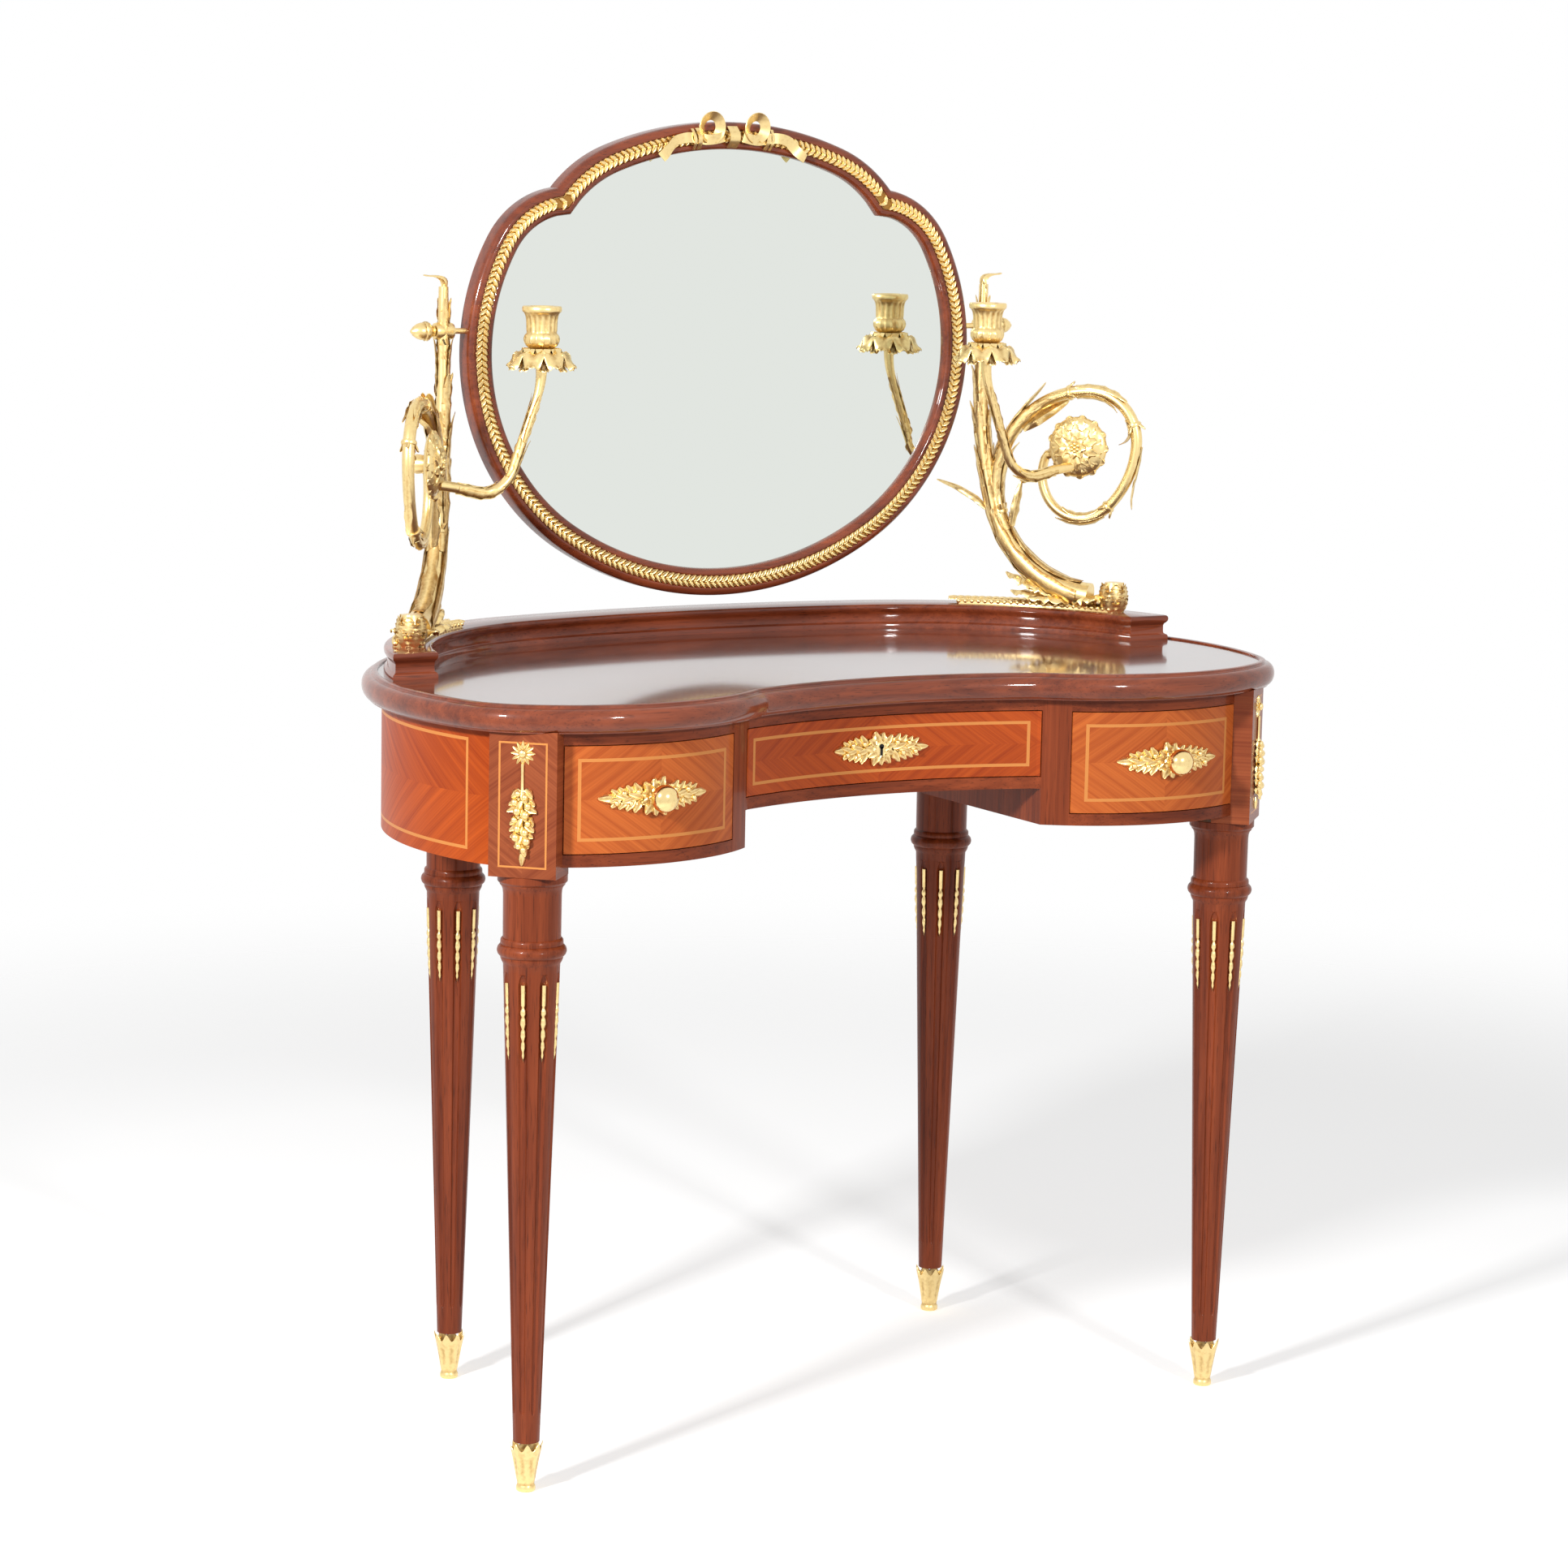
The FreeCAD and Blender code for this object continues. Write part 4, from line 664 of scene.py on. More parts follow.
EDGE_PROFILE = [(0, 776), (0.3, 777.5), (1.4, 778), (5, 778), (6.2, 777.4), (6.5, 775.6), (7.4, 774.9),
                (9.4, 774.6), (11.4, 773.8), (13.4, 772.2), (15.1, 769.6), (16.1, 766.4), (16.3, 763),
                (15.8, 759.6), (14.6, 756.6), (12.8, 754.2), (10.8, 752.8), (10.2, 752.4), (9.8, 751.4),
                (0, 751.4)]


def polar(angle):
    return Vector((math.cos(angle), math.sin(angle), 0))


def meetings(centre_a, radius_a, centre_b, radius_b):
    """Both crossings of two circles."""
    span = centre_b - centre_a
    along = (radius_a ** 2 - radius_b ** 2 + span.length_squared) / (2 * span.length)
    side = Vector((span.y, -span.x, 0)).normalized() * math.sqrt(radius_a ** 2 - along ** 2)
    return [centre_a + span.normalized() * along + side * sign for sign in (1, -1)]


def knee_corner(offset):
    """The inward corner of the plan beside the knee, on a line moved outwards."""
    spots = meetings(knee_centre, KNEE_RADIUS - offset, lobe_centre, LOBE_RADIUS + offset)
    return min(spots, key=lambda spot: spot.y + abs(spot.x))


def upright_frame(spot, outward):
    """A frame on the plan's line: first axis outwards, third axis up."""
    along = UP.cross(outward).normalized()
    return Matrix.Translation(spot) @ Matrix((outward, along, UP)).transposed().to_4x4()


def arc_frames(centre, radius, start, end, hollow=False):
    """Frames along one arc of the plan, outwards from its centre or, on a hollow arc, towards it."""
    count = max(2, round(abs(end - start) * radius / CHORD))
    made = []
    for step in range(count + 1):
        ray = polar(start + (end - start) * step / count)
        made.append(upright_frame(centre + ray * radius, -ray if hollow else ray))
    return made


knee_centre = Vector((0, KNEE_CENTRE_Y, 0))
lobe_centre = Vector((*LOBE_CENTRE, 0))
shoulder_centre = lobe_centre + polar(LOBE_ANGLE) * (LOBE_RADIUS - SHOULDER_RADIUS)
end_centre = shoulder_centre + polar(SHOULDER_ANGLE) * (SHOULDER_RADIUS - END_RADIUS)
back_radius = END_RADIUS + end_centre.x / math.cos(BACK_ANGLE)
back_centre = Vector((0, end_centre.y - (back_radius - END_RADIUS) * math.sin(BACK_ANGLE), 0))
corner = knee_corner(0)
outer_corner = knee_corner(NOSE)


def other_hand(frames):
    """The same frames on the left half, in the order that carries on round the plan."""
    flip = Matrix.Diagonal((-1, 1, 1, 1))
    made = []
    for place in reversed(frames):
        outward = flip @ place.to_3x3().col[0].to_4d()
        made.append(upright_frame((flip @ place.translation.to_4d()).to_3d(), outward.to_3d()))
    return made


def ray_angle(centre, spot):
    return math.atan2(spot.y - centre.y, spot.x - centre.x)


mitre = upright_frame(corner, (outer_corner - corner) / NOSE)
right_half = [mitre] + arc_frames(lobe_centre, LOBE_RADIUS, ray_angle(lobe_centre, corner), LOBE_ANGLE)[1:]
right_half += arc_frames(shoulder_centre, SHOULDER_RADIUS, LOBE_ANGLE, SHOULDER_ANGLE)[1:]
right_half += arc_frames(end_centre, END_RADIUS, SHOULDER_ANGLE, BACK_ANGLE)[1:]
back_run = arc_frames(back_centre, back_radius, BACK_ANGLE, math.pi - BACK_ANGLE)[1:-1]
knee_angle = ray_angle(knee_centre, corner)
knee_run = arc_frames(knee_centre, KNEE_RADIUS, math.pi - knee_angle, knee_angle, hollow=True)[1:-1]
plan_frames = right_half + back_run + other_hand(right_half) + knee_run + [mitre]


def chain_of(bm, points, closed):
    """A chain of edges through points."""
    chain = [bm.verts.new(point) for point in points]
    ends = zip(chain, chain[1:] + chain[:1]) if closed else zip(chain, chain[1:])
    return [bm.edges.new(pair) for pair in ends]


def sweep(bm, edges, frames):
    """Draws a chain of edges, made at the first frame, through the other frames; gives the last chain."""
    for before, after in zip(frames, frames[1:]):
        grown = bmesh.ops.extrude_edge_only(bm, edges=edges)["geom"]
        fresh = {item for item in grown if isinstance(item, bmesh.types.BMVert)}
        bmesh.ops.transform(bm, matrix=after @ before.inverted(), verts=list(fresh))
        edges = [item for item in grown if isinstance(item, bmesh.types.BMEdge)]
        edges = [edge for edge in edges if fresh.issuperset(edge.verts)]
    return edges


def run_through(bm, edges, frames, capped):
    """Sweeps a chain of edges and, for a closed chain, may cap both ends."""
    if capped:
        bmesh.ops.contextual_create(bm, geom=edges)
    last = sweep(bm, edges, frames)
    if capped:
        bmesh.ops.contextual_create(bm, geom=last)


def moulding(profile, frames, closed=True, capped=False):
    """A section of distances out and heights, in millimetres, run through frames; its ends may be capped."""
    bm = bmesh.new()
    points = [frames[0] @ Vector((out * mm, 0, height * mm)) for out, height in profile]
    run_through(bm, chain_of(bm, points, closed), frames, capped)
    return bm


def plan_measure(tree, place):
    """Distances across and to the back on the level field."""
    parted = put(tree, "ShaderNodeSeparateXYZ", {0: place})
    return parted.outputs[0], parted.outputs[1]


round_mahogany = plain_wood("round_mahogany", MAHOGANY_DARK, MAHOGANY_LIGHT, grain_turn=(0, math.pi / 2, 0),
                            coat=0.8)
fit("nosed_edge", moulding(EDGE_PROFILE, plan_frames), round_mahogany, "table", "mahogany",
    "top_edge_moulding", sharp=MOULDING_SHARP)
top_veneer = veneered("top_veneer", plan_measure, UNSTRUNG, UNSTRUNG, TOP_DARK, TOP_LIGHT, roughness=0.2,
                      coat=1.0)
coat_nodes(top_veneer, "top_panel")

# Gallery
# A low mahogany upstand round the back of the top, moulded on its faces with a base bead, a sunk fascia and
# a rounded cap. The moulding is mitred round both ends, and the whole is glued to the top.
GALLERY_OUTER, GALLERY_INNER, GALLERY_END = -5.7 * mm, -53.8 * mm, -10.64 * mm
GALLERY_PROFILE = [(0, 776), (0, 780), (-0.7, 781.6), (-2.2, 782.4), (-3.2, 783.6), (-3.4, 785.4),
                   (-3.4, 791.6), (-2.8, 793.4), (-1.4, 795), (-0.3, 796.8), (0, 799), (-0.3, 801),
                   (-1.3, 802.3), (-3, 802.8)]
SEAM, RIM_REACH = 0.05 * mm, 0.1 * mm


def moved_out(place, distance, outward):
    """A plan frame moved across the line, facing outwards or inwards."""
    spot = place @ Vector((distance, 0, 0))
    return upright_frame(spot, place.to_3x3().col[0] * outward)


def end_meeting(distance):
    """Where a line beside the end arc crosses the square end of the gallery."""
    radius = END_RADIUS + distance
    rise = GALLERY_END - end_centre.y
    return Vector((end_centre.x + math.sqrt(radius ** 2 - rise ** 2), GALLERY_END, 0))


def mitred(spot, first, second):
    return upright_frame(spot, (first + second) / (1 + first.dot(second)))


def gallery_run(distance, outward):
    """Frames along one face of the gallery, with both ends turned to mitre with its square ends."""
    angle = ray_angle(end_centre, end_meeting(distance))
    end_run = arc_frames(end_centre, END_RADIUS, angle, BACK_ANGLE)
    run = [moved_out(place, distance, outward) for place in end_run + back_run + other_hand(end_run)]
    for index in (0, -1):
        run[index] = mitred(run[index].translation, run[index].to_3x3().col[0].normalized(), FORWARD)
    return run


outer_run = gallery_run(GALLERY_OUTER, 1)
inner_run = gallery_run(GALLERY_INNER, -1)
bm = moulding(GALLERY_PROFILE, outer_run + inner_run[::-1] + outer_run[:1], closed=False)
bmesh.ops.remove_doubles(bm, verts=bm.verts, dist=SEAM)
for height in (GALLERY_PROFILE[0][1], GALLERY_PROFILE[-1][1]):
    rims = [edge for edge in bm.edges if edge.is_boundary]
    rim = [edge for edge in rims if abs(edge.verts[0].co.z - height * mm) < RIM_REACH]
    bmesh.ops.triangle_fill(bm, use_beauty=True, use_dissolve=False, edges=rim)
fit("moulded_gallery", bm, round_mahogany, "table", "mahogany", "gallery", sharp=MOULDING_SHARP)

# Mirror supports
# Two gilt bronze branches that stand on the gallery: a leafy upright that carries the pivot, and a scroll
# that winds round to a rosette. Each is cast, chased and screwed down through a leaf-covered base.
SUPPORT_ORIGIN = Vector((328 * mm, 161.36 * mm, 0))
SUPPORT_TURN = math.radians(-53.3)
ALONG = polar(SUPPORT_TURN)
OUTWARD = Vector((-ALONG.y, ALONG.x, 0))
STEM_POINTS = [(-2.5, 1152), (-2.5, 1050), (16, 914), (130, 818.3)]
SCROLL_POINTS = [(92, 818.8), (22, 909), (48, 1008), (125, 1041), (178, 984), (145, 914), (79, 922),
                 (76, 970)]
HUB, PIVOT, FRUIT = (115.8, 981), (-2.5, 1107), (51, 942)
HUB_PROFILE = [(0, 7), (9, 7), (10, 3), (8, -12), (0, -12)]
BOSS_RINGS = [(3.1, -10), (8, -10), (9, -7), (7.4, 0), (9, 7), (8, 10), (3.1, 10), (3.1, -10)]
SHEATH_ROWS, SHEATH_LOBES, SHEATH_SWELL, SHEATH_LIFT = 14, 4, 0.22, 1.02
LONG_LEAF_ROWS = 14
COLLAR_SPOTS, COLLAR_LEAF = (0.2, 0.49, 0.63, 0.79), 9 * mm
ROUND, BETWEEN, THIRDS = (0, 90, 180, 270), (45, 135, 225, 315), (0, 120, 240)
# whorls: where each starts and how far it reaches as shares of the rod, its turns, breadth and curl
STEM_WHORLS = [(0.03, 0.34, ROUND, 40, 0.2), (0.3, 0.25, BETWEEN, 40, 0.45), (0.48, 0.19, ROUND, 44, 0.8),
               (0.6, 0.17, (45, 135, 225), 46, 0.8), (0.71, 0.16, (0, 90, 180), 46, 0.8),
               (0.81, 0.16, (45, 135, 250), 46, 0.7)]
SCROLL_WHORLS = [(0.02, 0.17, ROUND, 42, 0.3), (0.21, 0.13, ROUND, 42, 0.6), (0.29, 0.16, (90,), 50, 1.7),
                 (0.33, 0.12, (0, 180), 46, 0.3), (0.5, 0.09, THIRDS, 40, 0.4), (0.61, 0.05, (270,), 44, 2.2),
                 (0.66, 0.1, (90,), 30, 2.6), (0.8, 0.08, THIRDS, 40, 0.4)]
BUD_WHORLS = [(0.02, 0.55, range(0, 360, 60), 34, 0.2), (0.4, 0.58, range(30, 390, 60), 34, 0.3)]
# leaves that stand free: one reaching in under the glass, one beside the shoot, one inside the scroll
FREE_LEAVES = [((13, 904), UP * 0.65 - ALONG * 0.75, UP * 0.75 + ALONG * 0.65 - OUTWARD * 0.4, 72, 12, -0.3),
               ((38, 890), UP + ALONG * 0.12, ALONG - UP * 0.12 - OUTWARD * 0.5, 52, 14, 0.1),
               ((47, 998), UP * 0.62 + ALONG * 0.78, UP * 0.5 - OUTWARD * 0.8, 58, 22, -0.22)]
BASE_SECTION = [(-15, 802.8), (-15, 805.6), (-12, 808.4), (12, 808.4), (15, 805.6), (15, 802.8)]
BASE_START, BASE_SWEEP, BASE_STEPS = 21.6, 35.4, 24
# acanthus: where each leaf is rooted, its heading and rise, its length, breadth and curl
ACANTHUS = [((116, 810), 0, 0.12, 46, 30, 0.14), ((116, 810), 40, 0.1, 36, 26, 0.08),
            ((116, 810), -40, 0.1, 36, 26, 0.08), ((104, 811), 180, 0.05, 66, 30, 0.06),
            ((106, 810), 150, 0.05, 46, 26, 0.04), ((106, 810), 210, 0.05, 46, 26, 0.04),
            ((84, 817), 180, 0.3, 56, 26, 0.1), ((92, 815), 160, 0.25, 40, 22, 0.1),
            ((92, 815), 200, 0.25, 40, 22, 0.1)]


def tangent_path(points, heading, step=4.0):
    """Points along a chain of arcs, each leaving the last one smoothly."""
    heading = math.radians(heading)
    made = [points[0]]
    for (t0, z0), (t1, z1) in zip(points, points[1:]):
        chord = math.atan2(z1 - z0, t1 - t0)
        bend = math.remainder(chord - heading, math.tau)
        length = math.hypot(t1 - t0, z1 - z0)
        count = max(2, round(length / step))
        for index in range(1, count + 1):
            share = index / count
            if abs(bend) < 1e-3:
                made.append((t0 + (t1 - t0) * share, z0 + (z1 - z0) * share))
                continue
            radius = length / (2 * math.sin(bend))
            turned = heading + 2 * bend * share
            made.append((t0 + radius * (math.sin(turned) - math.sin(heading)),
                         z0 - radius * (math.cos(turned) - math.cos(heading))))
        heading = chord + bend
    return made


def on_support(point, out=0.0):
    return SUPPORT_ORIGIN + ALONG * (point[0] * mm) + OUTWARD * out + Vector((0, 0, point[1] * mm))


def rod_frames(path, normal, radii):
    """Frames along a path that lies in a plane, scaled to the rod's radius at each place."""
    made = []
    for index, spot in enumerate(path):
        along = (path[min(index + 1, len(path) - 1)] - path[max(index - 1, 0)]).normalized()
        turn = Matrix((normal, along.cross(normal).normalized(), along)).transposed().to_4x4()
        made.append(Matrix.Translation(spot) @ turn @ Matrix.Scale(radii(index / (len(path) - 1)), 4))
    return made


def rod(bm, path, normal, radii, sides=14):
    """A round rod along a path, closed at both ends."""
    frames = rod_frames(path, normal, radii)
    ring = bmesh.ops.create_circle(bm, cap_ends=True, segments=sides, radius=1, matrix=frames[0])["verts"]
    edges = list({edge for vert in ring for edge in vert.link_edges})
    last = sweep(bm, edges, frames)
    bmesh.ops.contextual_create(bm, geom=last)
    return frames


def sheath(bm, frames, start, reach, turn, breadth, curl):
    """A leaf that wraps a rod and follows its bends, from a share of its length and about a turn round it."""
    def spot_at(run, side):
        spread, rib, arch = blade_shape(run, side, SHEATH_LOBES)
        share = min(start + reach * run, 0.999) * (len(frames) - 1)
        place = frames[int(share)].lerp(frames[int(share) + 1], share % 1)
        wave = 0.16 * side * side * (1 + math.cos(math.tau * SHEATH_LOBES * run))
        rise = SHEATH_LIFT + (SHEATH_SWELL * rib + wave) * arch + curl * run ** 4
        return place @ (polar(math.radians(turn + breadth * side * spread)) * rise)
    blade_of(bm, SHEATH_ROWS, LEAF_THICK, spot_at)


def clothe(bm, frames, whorls):
    """Whorls of sheathing leaves on a rod."""
    for start, reach, turns, breadth, curl in whorls:
        for turn in turns:
            sheath(bm, frames, start, reach, turn, breadth, curl)


def collar(bm, place):
    """A raised ring round a rod with three small leaves that spring from it."""
    along = place.to_3x3().col[2].normalized()
    radius = place.to_scale().x
    reach = radius / mm
    rim = reach * 0.8
    ring = [(rim, -2.8), (reach + 1.2, -2.2), (reach + 2, 0), (reach + 1.2, 2.2), (rim, 2.8), (rim, -2.8)]
    turning(bm, ring, 14, set_along(place.translation, OUTWARD, along))
    for turn in THIRDS:
        out = Matrix.Rotation(math.radians(90 + turn), 3, along) @ OUTWARD
        root = set_along(place.translation + out * radius, along + out * 0.3, out)
        leaf(bm, root, COLLAR_LEAF, COLLAR_LEAF * 0.7, curl=0.25, lobes=1, rows=6)


def support_bronze():
    """The right-hand support on its own upright plane."""
    bm = bmesh.new()
    stem = [on_support(point) for point in tangent_path(STEM_POINTS, -90)][::-1]
    frames = rod(bm, stem, OUTWARD, lambda run: (11 - 6 * run + 3.5 * (1 - run) ** 6) * mm)
    clothe(bm, frames, STEM_WHORLS)
    tip = frames[-1].translation
    hook = set_along(tip - UP * 7 * mm, UP + ASIDE * 0.6, UP * 0.6 - ASIDE)
    leaf(bm, hook, 28 * mm, 15 * mm, swell=0.3, droop=0.35, lobes=1, rows=LONG_LEAF_ROWS)
    leaf(bm, set_along(tip - UP * 20 * mm, UP, -ASIDE), 24 * mm, 13 * mm, curl=0.1, lobes=2)
    for spot, along, out, length, width, curl in FREE_LEAVES:
        leaf(bm, set_along(on_support(spot), along, out), length * mm, width * mm, swell=0.26, curl=curl,
             ruffle=0.06, rows=LONG_LEAF_ROWS)
    bead(bm, on_support(FRUIT, -2 * mm), 4.6 * mm)
    scroll = [on_support(point) for point in tangent_path(SCROLL_POINTS, 152) + [HUB]]
    frames = rod(bm, scroll, OUTWARD, lambda run: (8.2 - 3.2 * run) * mm)
    clothe(bm, frames, SCROLL_WHORLS)
    for share in COLLAR_SPOTS:
        collar(bm, frames[int(share * (len(frames) - 1))])
    turning(bm, HUB_PROFILE, 20, set_along(on_support(HUB), UP, OUTWARD))
    turning(bm, BOSS_RINGS, 20, set_along(on_support(PIVOT), UP, ASIDE))
    return bm


def base_bronze():
    """The right-hand plate along the gallery, with beaded edges and acanthus from the branch's foot."""
    middle = END_RADIUS + (GALLERY_OUTER + GALLERY_INNER) / 2
    turns = [BASE_START + BASE_SWEEP * step / BASE_STEPS for step in range(BASE_STEPS + 1)]
    rays = [polar(math.radians(turn)) for turn in turns]
    frames = [upright_frame(end_centre + ray * middle, ray) for ray in rays]
    bm = moulding(BASE_SECTION, frames, capped=True)
    for place in frames:
        out, along = place.to_3x3().col[0], place.to_3x3().col[1]
        for side in (1, -1):
            bead(bm, place @ Vector((side * 13.4 * mm, 0, 806.4 * mm)), 2.9 * mm)
            root = place @ Vector((side * 3 * mm, 0, 808 * mm))
            leaf(bm, set_along(root, along + out * side * 0.7, UP), 14 * mm, 9 * mm, swell=0.3, lobes=1,
                 rows=5)
    for spot, heading, rise, length, width, curl in ACANTHUS:
        ray = Matrix.Rotation(math.radians(heading), 3, "Z") @ ALONG
        root = set_along(on_support(spot), ray + UP * rise, UP - ray * rise)
        leaf(bm, root, length * mm, width * mm, swell=0.26, curl=curl, ruffle=0.12, lobes=4,
             rows=LONG_LEAF_ROWS)
    bud = [on_support((157, 803 + 4 * step)) for step in range(9)]
    frames = rod(bm, bud, OUTWARD, lambda run: (8 + 5 * math.sin(math.pi * (0.15 + 0.75 * run))) * mm)
    clothe(bm, frames, BUD_WHORLS)
    return bm


def gild_both(pieces):
    """Bronzes made for the right hand, each with its mirror image on the left."""
    for hand, side in HANDS:
        for name, make, node in pieces:
            bm = make()
            if hand < 0:
                bmesh.ops.scale(bm, vec=(-1, 1, 1), verts=bm.verts)
            gild(name + side, bm, matt_gilding, "table", node + side)


gild_both((("branch_", support_bronze, "support_"), ("leaf_base_", base_bronze, "support_base_")))

# Rosettes and candle arms
# A petalled rosette closes each scroll. From it a slender arm, sheathed in leaves, curves forward to a
# drip pan of drooping leaves and a fluted nozzle for one candle. All are gilt bronze, screwed together.
ARM_Y = 61.36 * mm
ARM_POINTS = [(400, 962), (339, 952), (297, 974), (271.5, 1044), (266.5, 1076)]
ARM_ROOT_X = 381 * mm
ARM_WHORLS = [(0.1, 0.25, THIRDS, 44, 0.3), (0.4, 0.22, (60, 180, 300), 46, 0.5),
              (0.6, 0.26, THIRDS, 46, 0.4)]
PAN_Z, NOZZLE_Z = 1081 * mm, 1082 * mm
PAN_PROFILE = [(0, -7), (7, -6), (15, -1.5), (13, 1.6), (0, 1)]
DOME_PROFILE = [(0, 9), (30, 9), (32.4, 11), (32.8, 13), (31, 16), (25, 19), (15, 21), (0, 22)]
# petals: how many, the radius of their roots, length, breadth, height over the hub and lean
PETAL_ROUNDS = [(13, 16, 20, 20, 19, -0.36), (10, 8, 17, 17, 21.5, -0.16), (7, 1, 12, 13, 22.5, 0.05)]
SEEDS = 6
NOZZLE_X = 266.5 * mm
NOZZLE_FLUTES = 16
CUP_FOOT, CUP_RIM, BULB_FOOT, BULB_RISE = 28.4, 48, 11, 16.5
NOZZLE_PROFILE = [(0, 0), (9, 0), (8.4, 1.4), (6.2, 3), (5.4, 6), (5.8, 9), (7.6, 10.6), (11.6, 12.6),
                  (15.4, 15.6), (17.4, 19.4), (17.8, 22.4), (17, 25.6), (15.4, 28), (15.2, 29), (15.6, 31),
                  (15.7, 36), (15.9, 41), (16.6, 45), (17.6, 47.4), (18.2, 48.4), (19.6, 49.6), (20, 51),
                  (20, 53.6), (19.2, 55), (12, 55), (11.2, 54), (11.2, 19), (0, 19)]


def rosette_bronze():
    """A full flower that faces away from the scroll: three rounds of petals on a dome, and a seeded heart."""
    bm = bmesh.new()
    hub = on_support(HUB)
    face = -OUTWARD
    turning(bm, DOME_PROFILE, 40, set_along(hub, UP, face))
    for count, root, length, width, lift, lean in PETAL_ROUNDS:
        for petal in range(count):
            ray = Matrix.Rotation(math.tau * (petal + lift / 7) / count, 3, face) @ UP
            spot = hub + ray * root * mm + face * lift * mm
            place = set_along(spot, ray + face * lean, face - ray * lean)
            leaf(bm, place, length * mm, width * mm, swell=0.2, ruffle=0.1, lobes=2)
    for seed in range(SEEDS + 1):
        ray = Matrix.Rotation(math.tau * seed / SEEDS, 3, face) @ UP * (4 * mm if seed < SEEDS else 0)
        bead(bm, hub + face * 24 * mm + ray, 2.4 * mm)
    return bm


def arm_radius(run):
    """The arm's radius along its length: a slow taper, then a swelling under the pan."""
    return (5.4 - 1.2 * run + 1.6 * max(0, run - 0.85) / 0.15) * mm


def arm_bronze():
    """The right-hand arm from the rosette to its pan, sheathed in leaves."""
    bm = bmesh.new()
    path = [Vector((t * mm, ARM_Y, z * mm)) for t, z in tangent_path(ARM_POINTS, 184)]
    start = next(index for index, spot in enumerate(path) if spot.x < ARM_ROOT_X)
    frames = rod(bm, path[start:], FORWARD, arm_radius)
    clothe(bm, frames, ARM_WHORLS)
    return bm


def pan_bronze():
    """A ring of broad ruffled leaves that droop at the tips, with narrow ones between them."""
    bm = bmesh.new()
    centre = Vector((NOZZLE_X, ARM_Y, PAN_Z))
    turning(bm, PAN_PROFILE, 24, Matrix.Translation(centre))
    for count, length, width, lift, turn, ruffle in ((8, 33, 29, 2, 0, 0.26), (8, 29, 20, -2, 0.5, 0.2)):
        for petal in range(count):
            ray = polar(math.tau * (petal + turn) / count)
            spot = centre + ray * 4 * mm + UP * lift * mm
            leaf(bm, set_along(spot, ray, UP), length * mm, width * mm, swell=0.26, droop=0.24, ruffle=ruffle,
                 lobes=3, rows=LONG_LEAF_ROWS)
    return bm


def flute_nozzle(vert):
    """Sinks flutes into the cup and swells gadroons on the bulb below it."""
    angle = math.atan2(vert.co.y, vert.co.x) * NOZZLE_FLUTES
    height, radius = vert.co.z / mm, vert.co.xy.length
    sink = 0
    if radius > 12.4 * mm and CUP_FOOT + 0.1 < height < CUP_RIM:
        ends = min(1, (height - CUP_FOOT) / 2, (CUP_RIM - height) / 2)
        sink = 1.1 * (0.5 - 0.5 * math.cos(angle)) ** 0.7 * ends
    elif radius > 7 * mm and BULB_FOOT < height < BULB_FOOT + BULB_RISE:
        bulge = math.sin(math.pi * (height - BULB_FOOT) / BULB_RISE)
        sink = 1.2 * abs(math.sin(angle / 2)) ** 0.5 * bulge - 0.6
    vert.co.x *= 1 - sink * mm / max(radius, mm)
    vert.co.y *= 1 - sink * mm / max(radius, mm)


def nozzle_bronze():
    """The right-hand candle nozzle, turned and then fluted."""
    bm = bmesh.new()
    place = Matrix.Translation((NOZZLE_X, ARM_Y, NOZZLE_Z))
    turning(bm, NOZZLE_PROFILE, NOZZLE_FLUTES * 6, place, flute_nozzle)
    return bm


gild_both((("petal_rosette_", rosette_bronze, "rosette_"), ("leafy_arm_", arm_bronze, "candle_arm_"),
           ("leaf_pan_", pan_bronze, "drip_pan_"), ("fluted_nozzle_", nozzle_bronze, "candle_nozzle_")))

# Mirror
# A tilting glass in a shaped mahogany frame: a rounded outer member, a gilt band of leaves let into its face,
# and an inner bead against the bevelled plate. The frame is sawn from four curved pieces and jointed.
MIRROR_Y = 152.36 * mm
MIRROR_LOW, MIRROR_TOP = 824.8, 1322.2
BASE_ARC, SIDE_ARC, SHOULDER_ARC, CREST_END_ARC, CREST_ARC = 356.5, 242.5, 99.3, 149.2, 388.8
SIDE_TURN, SHOULDER_TURN, CREST_TURN = math.radians(-58.1), math.radians(29.3), math.radians(68.9)
MIRROR_CHORD = 7
NOTCH_DEPTH = 28
FRAME_PROFILE = [(0, 22), (0, 7), (0.5, 4.4), (1.8, 2.2), (3.8, 0.8), (6.4, 0), (8, 0.2), (8.6, 1),
                 (8.8, 2.4), (21.2, 2.4), (21.4, 1.2), (22.2, 0.4), (24, 0.2), (26, 0.9), (27.6, 2.6),
                 (28.4, 5), (28.5, 9.5), (28.5, 22)]
BEVEL = 15
PLATE_PROFILE = [(24, 12), (24, 8.5), (28, 8.4), (28 + BEVEL, 8), (28 + BEVEL + 0.4, 8)]
BEVEL_SHARP = 2
base_centre = Vector((0, MIRROR_LOW + BASE_ARC, 0))
side_centre = base_centre + polar(SIDE_TURN) * (BASE_ARC - SIDE_ARC)
temple_centre = side_centre + polar(SHOULDER_TURN) * (SIDE_ARC - SHOULDER_ARC)
crest_centre = Vector((0, MIRROR_TOP - CREST_ARC, 0))
crest_end_centre = crest_centre + polar(CREST_TURN) * (CREST_ARC - CREST_END_ARC)


def notch(inset):
    """Where the shoulder meets the crest, on the right."""
    spots = meetings(temple_centre, SHOULDER_ARC - inset, crest_end_centre, CREST_END_ARC - inset)
    return max(spots, key=lambda spot: spot.y)


